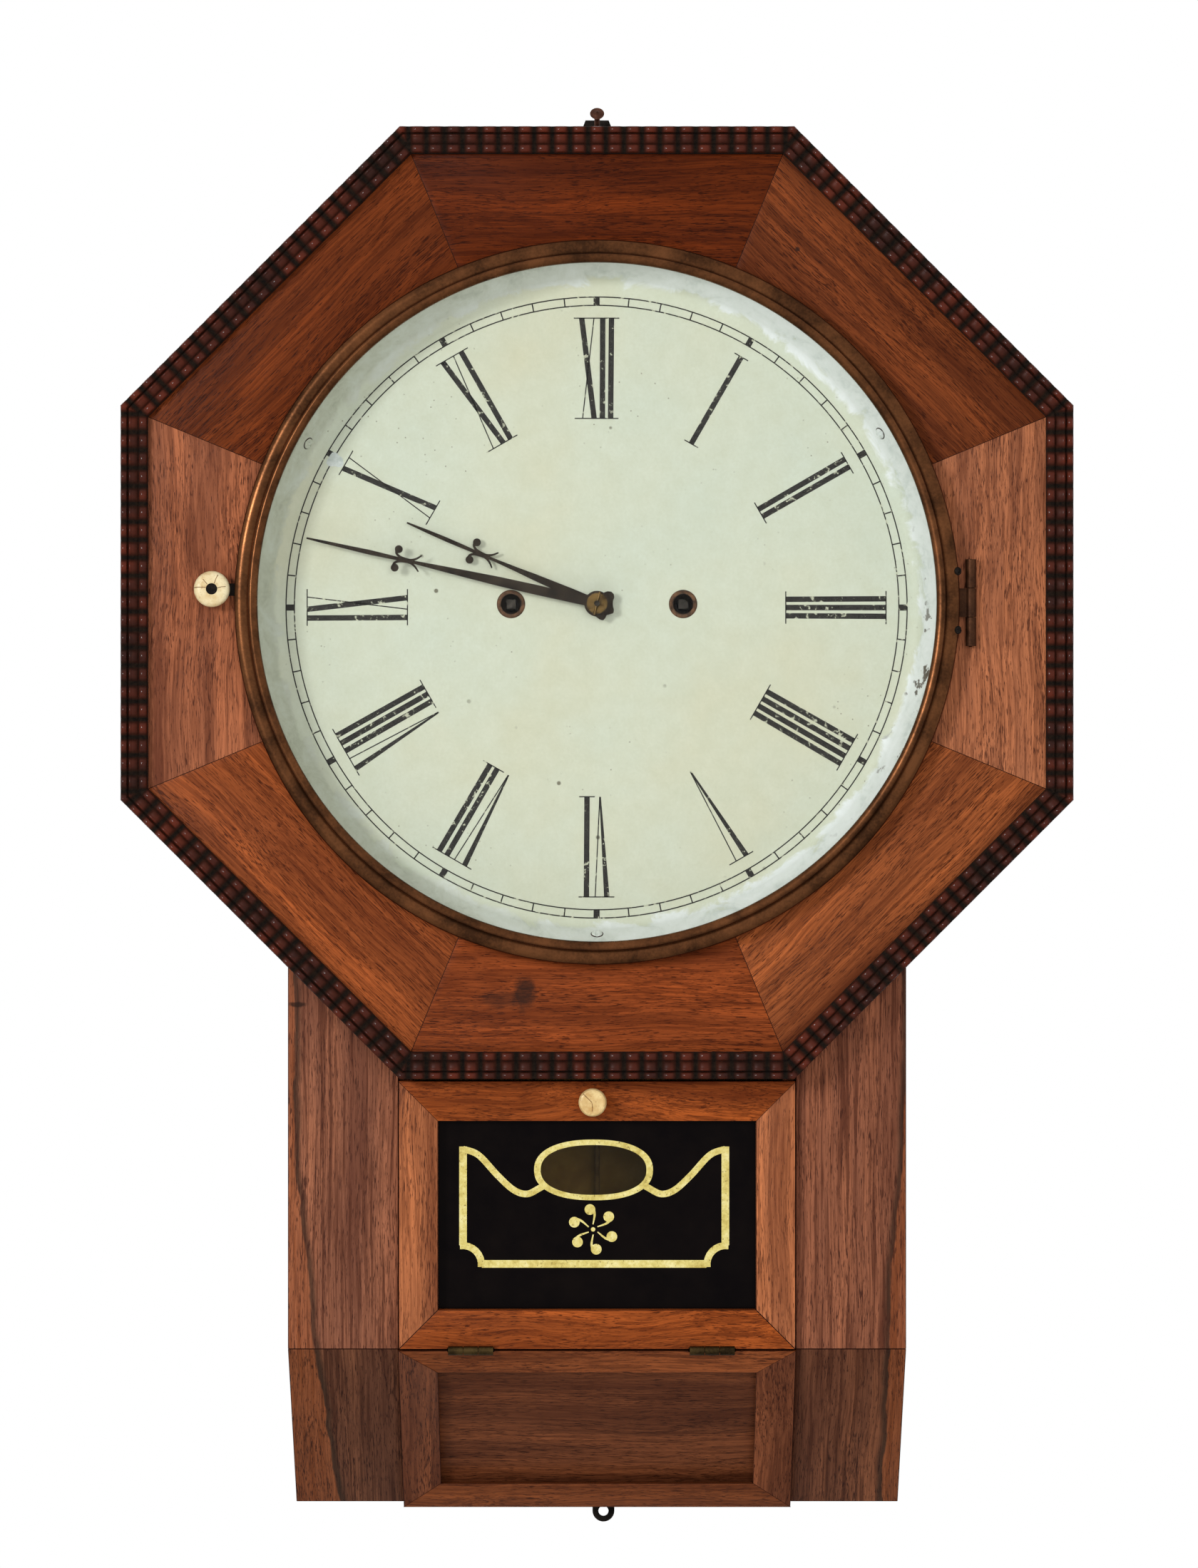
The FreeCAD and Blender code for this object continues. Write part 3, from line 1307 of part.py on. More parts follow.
def make_hour_wheel():
    """Hour wheel on the pipe that carries the hour hand."""
    wheel = toothed_wheel(S.hour_teeth, hour_module, 0.0, 0.0, hour_wheel_depth, pipe_bore, LOW, 0)
    pipe_back = hour_wheel_depth - S.run_gap * 5
    pipe_front = hour_hand_depth + S.hand_thick + S.run_gap * 3
    pipe = cylinder(pipe_radius, pipe_back, pipe_front)
    bore = cylinder(pipe_bore, front_plate_face, arbor_end)
    return shaped("hour_wheel", fuse(wheel, pipe).cut(bore).removeSplitter())


def make_motion_wheel():
    """Motion wheel and pinion on a tube that turns on the front plate's stud."""
    z = -number(motion_drop)
    bore = S.arbor + S.run_gap
    tube = bore + S.run_gap * 6
    wheel = toothed_wheel(S.motion_teeth, S.motion_module, 0.0, z, motion_wheel_depth, bore, HIGH, 0)
    shapes = lantern(hour_module, 0.0, z, motion_pinion, tube)
    shapes.append(cylinder(tube, motion_wheel_depth, motion_pinion, 0.0, z))
    hole = cylinder(bore, front_plate_depth, dial_face, 0.0, z)
    return shaped("motion_wheel", fuse(wheel, *shapes).cut(hole).removeSplitter())


def make_motion_stud():
    end = motion_pinion + S.pinion_length + S.shroud_thick * 1.5
    return shaped("motion_stud", cylinder(S.arbor, front_plate_depth, end, 0.0, -motion_drop))


# Hands

def tapered(*stations):
    """Flat bar along +Z from (half width, height) stations."""
    left = [Vector(-half, 0, z) for half, z in stations]
    right = [Vector(half, 0, z) for half, z in reversed(stations)]
    return Part.Face(Part.makePolygon(left + right + left[:1]))


def disc(x, z, radius):
    circle = Part.Circle(Vector(x, 0, z), BACK, radius)
    return Part.Face(Part.Wire(circle.toShape()))


def bow(start, through, end, width):
    """Curved bar of even width through three points."""
    circle = Part.Circle(*[Vector(x, 0, z) for x, z in (start, through, end)])
    centre, radius = circle.Center, circle.Radius
    inner, outer = [], []
    for x, z in (start, through, end):
        ray = Vector(x, 0, z) - centre
        inner.append(centre + ray * ((radius - width / 2) / radius))
        outer.append(centre + ray * ((radius + width / 2) / radius))
    edges = [
        Part.Arc(*inner).toShape(), Part.LineSegment(inner[2], outer[2]).toShape(),
        Part.Arc(*reversed(outer)).toShape(), Part.LineSegment(outer[0], inner[0]).toShape(),
    ]
    return Part.Face(Part.Wire(edges))


BLADE_ROOT = 2.1
BLADE_WIDE = 2.6
BLADE_WIDE_AT = 0.38
BLADE_NECK = 0.7
POINT_WIDE = 1.1
POINT_TIP = 0.4
WAIST_WIDE = 1.4
WAIST_NARROW = 1.2
WAIST_AHEAD = 4.5
HORN_BACK = 3.2
HORN_SPREAD = 3.6
HORN_KNEE = (2.2, -0.9)
HORN_ROOT = 0.6
CURL_AHEAD = 7.4
CURL_SPREAD = 4.1
CURL_KNEE = (3.2, 4.0)
CURL_ROOT = 2.4
CURL_WIRE = 1.1
BALL = 1.8
LOBE_SHARE = 0.4
HOUR_LOBES = (-53, 0, 53)


def hand(name, length, ornament, angle, start, bore, lobes):
    """Lance-shaped hand with a pair of horns and a pair of balls part way along."""
    length, ornament = number(length), number(ornament)
    boss = number(S.hand_boss)
    horn = ornament - HORN_BACK
    ball = ornament + CURL_AHEAD
    widest = ornament * BLADE_WIDE_AT
    blade = tapered((BLADE_ROOT, 0), (BLADE_WIDE, widest), (BLADE_NECK, horn), (BLADE_NECK, ornament))
    point = tapered((BLADE_NECK, ornament), (POINT_WIDE, ball), (POINT_TIP, length))
    waist = tapered((WAIST_WIDE, ornament - HORN_BACK / 2), (WAIST_NARROW, ornament + WAIST_AHEAD))
    faces = [blade, point, waist, disc(0, 0, boss)]
    for side in (-1, 1):
        horn_knee = (side * HORN_KNEE[0], ornament + HORN_KNEE[1])
        curl_knee = (side * CURL_KNEE[0], ornament + CURL_KNEE[1])
        curl_end = (side * CURL_SPREAD, ball - BALL / 2)
        faces.append(bow((0, ornament + HORN_ROOT), horn_knee, (side * HORN_SPREAD, horn), CURL_WIRE))
        faces.append(bow((0, ornament + CURL_ROOT), curl_knee, curl_end, CURL_WIRE))
        faces.append(disc(side * CURL_SPREAD, ball, BALL))
    for lobe in lobes:
        turn = math.radians(lobe)
        faces.append(disc(math.sin(turn) * boss, -math.cos(turn) * boss, boss * LOBE_SHARE))
    solids = [face.extrude(Vector(0, -number(S.hand_thick), 0)) for face in faces]
    shape = fuse(*solids).cut(cylinder(bore, -S.hand_thick, S.hand_thick * 2)).removeSplitter()
    pose = Placement(Vector(0, -number(start), 0), Rotation(BACK, number(angle)))
    return shaped(name, shape, pose)


def taper_pin(radius):
    """Pin across the end of the minute arbor, a little off upright."""
    half = number(S.taper_pin_length) / 2
    turn = math.radians(number(S.taper_pin_lean))
    lean = Vector(math.sin(turn), 0, math.cos(turn))
    middle = Vector(0, -number(taper_pin_depth), 0)
    return Part.makeCylinder(number(radius), half * 2, middle - lean * half, lean)


def make_hands():
    hour = hand("hour_hand", S.hour_length, S.hour_ornament, S.hour_angle, hour_hand_depth,
                pipe_radius + S.seat_gap, HOUR_LOBES)
    minute = hand("minute_hand", S.minute_length, S.minute_ornament, S.minute_angle, minute_hand_depth,
                  S.minute_end + S.seat_gap, ())
    washer = cylinder(S.collet_radius, collet_depth, collet_depth + S.collet_thick)
    washer = washer.cut(cylinder(S.minute_end + S.seat_gap, collet_depth, collet_depth + S.collet_thick))
    collet = shaped("hand_collet", Part.makeCompound([washer, taper_pin(S.taper_pin)]))
    return [hour, minute, collet]


# Verge and pendulum

KNEE_SPREAD = 1.15
BOB_EDGE = 0.25
BOB_FLAT = 0.12


def make_verge():
    """Strip verge over the escape wheel, its arbor, and the crutch behind the back plate."""
    pivot_z = number(S.verge_rise)
    wheel_z = number(escape_rise)
    reach = number(S.escape_radius + S.pallet_gap)
    angle = math.radians(number(S.pallet_angle))
    tips = [(side * reach * math.sin(angle), wheel_z + reach * math.cos(angle)) for side in (-1, 1)]
    half = number(S.verge_strip) / 2
    thick = number(S.pallet_thick)
    strips = []
    for side, (x, z) in zip((-1, 1), tips):
        knee = x * KNEE_SPREAD
        outline = [
            (0, pivot_z + half), (knee + side * thick, pivot_z), (x + side * thick, z),
            (x, z), (knee - side * thick, pivot_z - half), (0, pivot_z - half),
        ]
        strips.append(polygon(outline, number(escape_wheel_depth), number(S.wheel_sheet)))
    crutch_front = S.back_plate_depth - S.joint_gap
    wire = S.crutch_wire
    arm = block(-wire / 2, wire / 2, crutch_front - wire, crutch_front, pivot_z - S.crutch_length, pivot_z)
    fork = S.rod_radius + S.joint_gap
    foot = pivot_z - S.crutch_length
    cross = block(-fork - wire, fork + wire, crutch_front - wire, crutch_front, foot - wire, foot)
    reach_back = S.pendulum_depth - S.rod_radius
    prongs = [
        block(side * fork, side * (fork + wire), reach_back, crutch_front, foot - wire, foot)
        for side in (-1, 1)
    ]
    arbor = cylinder(S.pivot, crutch_front - wire, front_plate_face, 0.0, pivot_z)
    collar = cylinder(S.arbor, inside_back + S.run_gap * 2, front_plate_depth - S.run_gap * 2, 0.0, pivot_z)
    return shaped("verge", fuse(arbor, collar, arm, cross, *prongs, *strips))


def make_suspension_cock():
    """Slotted bracket on the back plate that holds the top of the suspension spring."""
    half = S.suspension_width
    foot = S.verge_rise - S.suspension_width / 2
    top = S.plate_top - S.plate_sheet
    back = S.pendulum_depth - S.suspension_width
    base = S.verge_rise + S.suspension_width
    body = block(-half, half, back, S.back_plate_depth, base, top)
    jaw = block(-half, half, back, S.pendulum_depth + S.suspension_width, foot, top)
    slot_half = S.suspension_thick / 2 + S.joint_gap * 2
    slot = block(-slot_half, slot_half, back, S.pendulum_depth + S.suspension_width, foot, base - S.run_gap)
    return shaped("suspension_cock", fuse(body, jaw).cut(slot).removeSplitter())


def make_pendulum():
    """Rod on its suspension spring, with the bob and the rating nut below."""
    depth = S.pendulum_depth
    bend = S.verge_rise
    bob_z = bend - S.pendulum_length
    spring_foot = bend - S.suspension_length
    half_width = S.suspension_width / 2
    half_thick = S.suspension_thick / 2
    spring_top = bend + S.suspension_width - S.joint_gap * 3
    back, front = depth - half_width, depth + half_width
    ferrule_foot = spring_foot - half_width
    spring = block(-half_thick, half_thick, back, front, spring_foot, spring_top)
    ferrule = block(-S.rod_radius, S.rod_radius, back, front, ferrule_foot, spring_foot)
    rod_foot = bob_z - S.bob_radius - S.nut_height * 3
    foot = Vector(0, -number(depth), number(rod_foot))
    rod = Part.makeCylinder(number(S.rod_radius), number(ferrule_foot - rod_foot), foot, UP)
    pendulum = shaped("pendulum_rod", fuse(spring, ferrule, rod))
    half = S.bob_thick / 2
    edge = half * BOB_EDGE
    flat = S.bob_radius * BOB_FLAT
    swell = half * BOB_FLAT
    lens = [
        (depth - half, 0.0), (depth - half, flat), (depth - edge, S.bob_radius, swell),
        (depth + edge, S.bob_radius), (depth + half, flat, swell), (depth + half, 0.0),
    ]
    bob = turned("bob", lens, 0.0, bob_z)
    channel = box(-S.rod_radius - S.seat_gap, S.rod_radius + S.seat_gap, -S.bob_radius, S.bob_radius)
    pocket(bob, "XZ_Plane", [channel], depth + S.rod_radius + S.seat_gap, (S.rod_radius + S.seat_gap) * 2)
    nut_top = bob_z - S.bob_radius - S.joint_gap
    foot = Vector(0, -number(depth), number(nut_top - S.nut_height))
    nut = Part.makeCylinder(number(S.nut_radius), number(S.nut_height), foot, UP)
    nut = nut.cut(Part.makeCylinder(number(S.rod_radius + S.seat_gap), number(S.nut_height), foot, UP))
    return [pendulum, group("pendulum_bob", [bob, shaped("rating_nut", nut)])]


# The whole clock

parts += [make_backboard(), *make_sides(), make_crown(), make_bottom(), *make_stiles(), make_head_rail()]
parts += [*make_canted_panels(), *make_apron()]
parts += [make_octagon_segment(index) for index in range(OCTAGON_SIDES)]
parts += [make_ripples(), make_dial(), make_grommets()]
parts += [make_bezel(), make_glass(), *make_bezel_hinge(), *make_bezel_knob()]
parts += [make_door(), make_tablet(), *make_door_hinges(), *make_door_knob()]
parts += [make_hanger(), make_nail(), make_ear(), make_paper()]
parts += [*make_plates(), make_pillars(), make_blocks(), make_mainsprings()]
for side_name, side_x, toward in (("left", -S.winding_spread, RIGHT), ("right", S.winding_spread, LEFT)):
    parts.append(make_main_wheel("main_wheel_" + side_name, side_x, toward))
    parts.append(make_winding_arbor("winding_arbor_" + side_name, side_x))
parts += [make_centre_arbor(), make_third_wheel(), make_escape_wheel()]
parts += [make_hour_wheel(), make_motion_wheel()]
parts += [*make_hands(), make_verge(), make_suspension_cock(), *make_pendulum()]
doc.recompute()

for item in doc.Objects:
    if "Invalid" in item.State or "Error" in item.State:
        raise RuntimeError(f"{item.Label} failed: {item.State}")
for part in parts:
    if part.Shape.isNull() or not part.Shape.isValid() or not part.Shape.Solids:
        raise RuntimeError(f"{part.Label} has no valid solid")

os.makedirs("parts", exist_ok=True)
for part in parts:
    part.Shape.exportStep(f"parts/{part.Label}.step")
print(len(parts), "sub-parts written")
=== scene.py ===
# %% [markdown]
# # An octagon drop clock
# This wall clock has a mitred rosewood octagon with a rippled edge, a painted dial in a shallow well,
# and a short drop below with a painted glass in its door. The solids come from the CAD pack and stay
# where they are. Each cell below dresses one piece, or makes the finer piece that stands for it.

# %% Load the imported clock
import math

import bmesh
import bpy
from mathutils import Matrix, Vector


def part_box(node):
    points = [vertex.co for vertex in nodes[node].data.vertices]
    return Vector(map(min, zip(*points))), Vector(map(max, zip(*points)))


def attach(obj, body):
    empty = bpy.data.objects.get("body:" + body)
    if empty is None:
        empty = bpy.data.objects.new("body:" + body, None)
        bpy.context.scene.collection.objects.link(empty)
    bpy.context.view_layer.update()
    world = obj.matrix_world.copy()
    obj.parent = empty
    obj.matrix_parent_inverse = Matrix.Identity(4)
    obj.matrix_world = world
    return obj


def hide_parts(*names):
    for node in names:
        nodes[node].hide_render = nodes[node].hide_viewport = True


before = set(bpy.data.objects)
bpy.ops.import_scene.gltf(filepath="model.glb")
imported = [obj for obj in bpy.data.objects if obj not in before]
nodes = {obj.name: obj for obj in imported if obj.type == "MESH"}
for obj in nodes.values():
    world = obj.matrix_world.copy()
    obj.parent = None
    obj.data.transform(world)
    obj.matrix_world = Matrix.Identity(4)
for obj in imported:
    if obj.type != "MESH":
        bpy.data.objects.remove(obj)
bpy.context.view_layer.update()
MM = 0.001

# %% [markdown]
# ## Camera
# The photograph looks straight at the clock from about two and a half metres, a little below the dial.
# A long lens from that place gives the same small amount of perspective on the canted bottom. Its length
# comes from the picture's height in pixels, because a lens set by eye would shift every edge a little.

# %% Camera
PHOTO_SIZE = (1680, 2199)
FOCAL_PIXELS = 7725
CAMERA_PLACE = (0.0009, -2.618, -0.0822)
camera_data = bpy.data.cameras.new("front_camera")
camera_data.sensor_width = 36
camera_data.lens = FOCAL_PIXELS * camera_data.sensor_width / PHOTO_SIZE[1]
camera = bpy.data.objects.new("front_camera", camera_data)
camera.location = CAMERA_PLACE
camera.rotation_euler = (math.pi / 2, 0, 0)
bpy.context.scene.collection.objects.link(camera)
bpy.context.scene.camera = camera
print("lens", round(camera_data.lens, 1), "mm")

# %% [markdown]
# ## Node recipes
# The room, the finishes and the repeating pieces are all node trees. This small class adds a node in one line
# and takes numbers, colours or other nodes' sockets as its inputs, so that each tree reads as a short recipe.

# %% Recipe class


class Recipe:
    """A node tree of a world, a material or a Geometry Nodes group."""

    def __init__(self, tree):
        self.tree = tree
        tree.nodes.clear()

    def add(self, kind, inputs=None, **settings):
        node = self.tree.nodes.new(kind if kind.startswith("Geometry") else "ShaderNode" + kind)
        for key, value in settings.items():
            setattr(node, key, value)
        for key, value in (inputs or {}).items():
            self.feed(node.inputs[key], value)
        return node

    def feed(self, socket, value):
        if isinstance(value, bpy.types.NodeSocket):
            self.tree.links.new(value, socket)
        else:
            socket.default_value = value

    def math(self, operation, first, second=0.0, clamp=False):
        node = self.add("Math", {0: first, 1: second}, operation=operation, use_clamp=clamp)
        return node.outputs[0]

    def plus(self, first, second, clamp=False):
        return self.math("ADD", first, second, clamp)

    def less(self, first, second, clamp=False):
        return self.math("SUBTRACT", first, second, clamp)

    def times(self, first, *others):
        for other in others:
            first = self.math("MULTIPLY", first, other)
        return first


def node_tree(owner):
    owner.use_nodes = True
    return owner.node_tree


print("node recipes ready")

# %% [markdown]
# ## Studio
# The clock hangs in a bright room. A small soft lamp on the left models the ripples, the bezel and the dial's
# rim, a broad one beside the camera fills the shadows, and a pale world gives the rest. The background is white
# because camera, glossy and transmission rays see the world at full strength, while its light on the clock
# stays lower. The lamp beside the camera would stand as a square in the dial's glass, so it isn't mirrored,
# and it isn't seen through the glass either, because the few rays that meet it there leave grain on the dial.
# The floor lies well below, as it does under a clock on a wall.

# %% Floor, world and lamps
FLOOR_DROP = 1.2
FLOOR_REACH = 3.0
FLOOR_COLOUR = (0.86, 0.86, 0.85, 1)
AMBIENT = 0.40
KEY_LAMP = {"place": (-1.5, -2.5, 0.5), "aim": (0, -0.1, -0.05), "side": 0.55, "power": 33}
FRONT_LAMP = {"place": (0.35, -3.0, 0.25), "aim": (0, -0.1, -0.15), "side": 1.2, "power": 24, "mirrored": False}


def white_room():
    world = bpy.data.worlds.new("white_room")
    bpy.context.scene.world = world
    room = Recipe(node_tree(world))
    rays = room.add("LightPath").outputs
    strength = AMBIENT
    for ray in ("Is Camera Ray", "Is Glossy Ray", "Is Transmission Ray"):
        strength = room.plus(rays[ray], strength, clamp=True)
    background = room.add("Background", {"Color": (1, 1, 1, 1), "Strength": strength})
    room.add("OutputWorld", {"Surface": background.outputs[0]})


def softbox(name, place, aim, side, power, mirrored=True):
    lamp = bpy.data.lights.new(name, "AREA")
    lamp.shape = "SQUARE"
    lamp.size = side
    lamp.energy = power
    holder = bpy.data.objects.new(name, lamp)
    holder.location = place
    holder.rotation_euler = (Vector(aim) - Vector(place)).to_track_quat("-Z", "Y").to_euler()
    holder.visible_glossy = mirrored
    holder.visible_transmission = mirrored
    bpy.context.scene.collection.objects.link(holder)


def plain_floor():
    mesh = bpy.data.meshes.new("floor")
    corners = [(x * FLOOR_REACH, y * FLOOR_REACH, -FLOOR_DROP) for x, y in ((-1, -1), (1, -1), (1, 1), (-1, 1))]
    mesh.from_pydata(corners, [], [(0, 1, 2, 3)])
    floor = bpy.data.objects.new("floor", mesh)
    bpy.context.scene.collection.objects.link(floor)
    paint = bpy.data.materials.new("floor_paint")
    coat = Recipe(node_tree(paint))
    shader = coat.add("BsdfPrincipled", {"Base Color": FLOOR_COLOUR, "Roughness": 0.9})
    coat.add("OutputMaterial", {"Surface": shader.outputs[0]})
    mesh.materials.append(paint)


white_room()
plain_floor()
softbox("key_lamp", **KEY_LAMP)
softbox("front_lamp", **FRONT_LAMP)
bpy.context.scene.view_settings.view_transform = "Standard"
print("two lamps, a white room and a floor", FLOOR_DROP, "m below the dial")

# %% [markdown]
# ## A small language for finishes
# Every finish is a recipe round one Principled shader and reads the piece's own coordinates. Noise, colour
# ramps and mixes take one line each. Pictures could give the colours too, but noise needs none, doesn't
# repeat and follows any shape.

# %% Finish class


def tone(red, green, blue):
    """A colour as a painter would mix it on screen, turned into light values."""
    share = [v / 255 for v in (red, green, blue)]
    light = [v / 12.92 if v <= 0.04045 else ((v + 0.055) / 1.055) ** 2.4 for v in share]
    return (*light, 1)


def shade(value):
    """A colour as it is, or a number as a grey."""
    return value if hasattr(value, "__len__") else (value, value, value, 1)


class Finish(Recipe):
    def __init__(self, name):
        self.material = bpy.data.materials.new(name)
        super().__init__(node_tree(self.material))
        self.shader = self.add("BsdfPrincipled")
        self.output = self.add("OutputMaterial", {"Surface": self.shader.outputs[0]})
        self.where = self.add("TexCoord").outputs["Object"]

    def set(self, **values):
        for key, value in values.items():
            self.feed(self.shader.inputs[key.replace("_", " ")], value)
        return self

    def mapped(self, scale=(1, 1, 1), turn=(0, 0, 0), shift=(0, 0, 0)):
        return self.add("Mapping", {"Vector": self.where, "Scale": scale, "Rotation": turn,
                                    "Location": shift}).outputs[0]

    def noise(self, vector, scale, detail=4.0, rough=0.55, bend=0.0):
        node = self.add("TexNoise", {"Vector": vector, "Scale": scale, "Detail": detail,
                                     "Roughness": rough, "Distortion": bend})
        return node.outputs["Fac"]

    def ramp(self, factor, *stops):
        """Colours or numbers along a factor; each stop is (position, colour)."""
        node = self.add("ValToRGB", {"Fac": factor})
        marks = node.color_ramp.elements
        for mark, (position, colour) in zip(marks, (stops[0], stops[-1])):
            mark.position, mark.color = position, shade(colour)
        for position, colour in stops[1:-1]:
            marks.new(position).color = shade(colour)
        return node.outputs["Color"]

    def mix(self, factor, first, second):
        return self.add("Mix", {0: factor, 6: first, 7: second}, data_type="RGBA").outputs[2]

    def blend(self, first, share, second):
        """A share of one pattern and the rest of another."""
        return self.plus(self.times(first, share), self.times(second, 1 - share))

    def place(self):
        """The point's x and z on the clock's front."""
        split = self.add("SeparateXYZ", {"Vector": self.where})
        return split.outputs["X"], split.outputs["Z"]

    def reach(self, across, up):
        """The straight distance that goes with a distance across and one up."""
        return self.math("SQRT", self.plus(self.times(across, across), self.times(up, up)))

    def span(self, value, low, high, to_low=0.0, to_high=1.0):
        return self.add("MapRange", {"Value": value, "From Min": low, "From Max": high,
                                     "To Min": to_low, "To Max": to_high}).outputs[0]

    def bump(self, height, strength, distance):
        node = self.add("Bump", {"Height": height, "Strength": strength, "Distance": distance})
        self.feed(self.shader.inputs["Normal"], node.outputs[0])
        return self


print("finish recipes ready")

# %% [markdown]
# ## Rosewood
# The show wood is veneer, polished but old: warm brown between orange and purple, with darker streaks
# that run with the grain and fine open pores. All three are noise stretched along the board. The Mapping
# node turns the pattern so that the grain follows each board, as the eight segments of the octagon need.

# %% Wood recipe
GRAIN_SIDEWAYS = (0, 0, 0)
GRAIN_UPRIGHT = (0, math.pi / 2, 0)
CANT = (0, -72, 79)
GRAIN_CANTED = (math.atan2(CANT[1], CANT[2]), math.pi / 2, 0)


def tinted(colour, red, green, blue):
    return (colour[0] * red, colour[1] * green, colour[2] * blue, 1)


def polished_wood(name, turn, colour, seed, streaks=0.55, wild=1.0, sap=None, marks=()):
    """Grain along the board's own length, in four scales from broad figure down to pores."""
    wood = Finish(name)
    board = wood.mapped((1, 1, 1), turn, (seed * 1.7, seed * 0.9, seed * 2.3))

    def stretched(vector, along, across):
        return wood.add("Mapping", {"Vector": vector, "Scale": (along, across, across)}).outputs[0]

    drift = wood.add("TexNoise", {"Vector": stretched(board, 9, 24), "Scale": 1.0, "Detail": 2.0})
    shift = wood.add("VectorMath", {0: drift.outputs["Color"], 1: (0.5, 0.5, 0.5)}, operation="SUBTRACT")
    sway = wood.add("VectorMath", {0: shift.outputs[0], 1: (0, 0.012 * wild, 0.012 * wild)},
                    operation="MULTIPLY")
    waved = wood.add("VectorMath", {0: board, 1: sway.outputs[0]}).outputs[0]
    figure = wood.noise(stretched(waved, 4, 60), 1.0, 4, 0.6)
    lines = wood.noise(stretched(waved, 8, 620), 1.0, 4, 0.6)
    fibres = wood.noise(stretched(waved, 45, 1700), 1.0, 3, 0.6)
    pores = wood.noise(stretched(waved, 170, 2500), 1.0, 2, 0.6)
    light, dark = tinted(colour, 1.7, 1.66, 1.5), tinted(colour, 0.34, 0.27, 0.26)
    base = wood.ramp(figure, (0.30, tinted(colour, 0.5, 0.45, 0.48)), (0.48, colour), (0.68, light))
    line = wood.times(wood.ramp(lines, (0.40, 1.0), (0.52, 0.0)), streaks)
    streaked = wood.mix(line, base, dark)
    if sap:
        streaked = sapwood_edge(wood, streaked, board, *sap)
    fine = wood.mix(wood.span(fibres, 0.34, 0.58, 0.55, 0.0), streaked, dark)
    crowd = wood.span(wood.noise(stretched(waved, 20, 90), 1.0, 3), 0.35, 0.65, -0.04, 0.05)
    pore = wood.ramp(wood.less(pores, crowd), (0.36, 1.0), (0.43, 0.0))
    grain = wood.mix(wood.times(pore, 0.85), fine, tinted(colour, 0.17, 0.14, 0.17))
    for mark in marks:
        grain = dark_mark(wood, grain, *mark)
    wood.set(Base_Color=grain, Roughness=wood.span(fibres, 0.25, 0.75, 0.3, 0.48))
    wood.set(Specular_IOR_Level=0.06)
    return wood.bump(wood.less(fibres, pore), 0.2, 0.0003).material


def sapwood_edge(wood, colour, board, side, high, low, start, end):
    """A strip of orange sapwood along an outer edge, with the dark line that borders it."""
    x, z = wood.place()
    edge = wood.span(z, high, low, start, end)
    reach = wood.times(wood.less(x, edge), side)
    wobble = wood.times(wood.less(wood.noise(board, 38, 3, 0.6), 0.5), 0.006)
    beyond = wood.plus(reach, wobble)
    outside = wood.span(beyond, 0.0, 0.0007)
    border = wood.less(wood.span(beyond, -0.0034, -0.0012), outside, True)
    edged = wood.mix(wood.times(border, 0.75), colour, tone(38, 33, 26))
    return wood.mix(wood.times(outside, 0.42), edged, tone(160, 86, 44))


def dark_mark(wood, colour, x, z, wide, tall, depth=0.85):
    """A knot, a filled slot or a nail hole, with a ragged edge."""
    at_x, at_z = wood.place()
    across = wood.math("DIVIDE", wood.less(at_x, x), wide)
    up = wood.math("DIVIDE", wood.less(at_z, z), tall)
    ragged = wood.plus(wood.reach(across, up), wood.less(wood.noise(wood.mapped(), 260, 4, 0.6), 0.5))
    spot = wood.span(ragged, 1.05, 0.55, 0.0, depth)
    return wood.mix(spot, colour, tone(40, 26, 20))


# %% Woods of this clock
# Each segment's tone holds its own colour and painted sheen: segments with upright grain are painted lighter and the
# top darker, as under a lamp on the left.
SEGMENT_TONES_WITH_PAINTED_SHEEN = {1: (97, 40, 12), 2: (114, 57, 28), 3: (165, 102, 70), 4: (144, 78, 42), 5: (134, 64, 29),
                 6: (145, 75, 38), 7: (152, 91, 63), 8: (108, 50, 21)}
SEGMENT_MARKS = {2: [(0.091, 0.1605, 0.0012, 0.0012)],
                 5: [(-0.033, -0.177, 0.006, 0.009, 0.8), (-0.044, -0.180, 0.012, 0.005, 0.45)]}
segment_wood = {
    i: polished_wood(f"rosewood_segment_{i}", (0, -(i - 1) * math.pi / 4, 0), tone(*colour), i,
                     marks=SEGMENT_MARKS.get(i, ()))
    for i, colour in SEGMENT_TONES_WITH_PAINTED_SHEEN.items()
}
LEFT_SAP = (-1, -0.251, -0.420, -0.1380, -0.1210)
RIGHT_SAP = (1, -0.227, -0.315, 0.1415, 0.1335)
stile_woods = {
    "left": polished_wood("rosewood_stile_left", GRAIN_UPRIGHT, tone(139, 88, 66), 11, 0.8, 0.5, LEFT_SAP,
                          [(-0.137, -0.183, 0.005, 0.0014)]),
    "right": polished_wood("rosewood_stile_right", GRAIN_UPRIGHT, tone(139, 86, 63), 22, 0.8, 0.5, RIGHT_SAP),
}
canted_woods = {
    "left": polished_wood("rosewood_canted_left", GRAIN_CANTED, tone(102, 64, 46), 12, 0.75, 0.5, LEFT_SAP),
    "right": polished_wood("rosewood_canted_right", GRAIN_CANTED, tone(108, 66, 46), 23, 0.75, 0.5, RIGHT_SAP),
}
rail_wood = polished_wood("rosewood_rails", GRAIN_SIDEWAYS, tone(153, 76, 32), 13, 0.6, 2.2)
door_stile_wood = polished_wood("rosewood_door_stiles", GRAIN_UPRIGHT, tone(172, 104, 67), 14, 0.5, 0.7)
apron_rail_wood = polished_wood("rosewood_apron_rails", GRAIN_SIDEWAYS, tone(124, 67, 36), 19, 0.55, 1.5)
apron_stile_wood = polished_wood("rosewood_apron_stiles", GRAIN_CANTED, tone(118, 68, 44), 20)
panel_wood = polished_wood("rosewood_panel", GRAIN_SIDEWAYS, tone(105, 59, 36), 15, 0.45)
side_wood = polished_wood("case_side_wood", GRAIN_UPRIGHT, tone(96, 52, 33), 17, 0.5)
pine = polished_wood("bare_pine", GRAIN_UPRIGHT, tone(176, 136, 88), 18, 0.3)
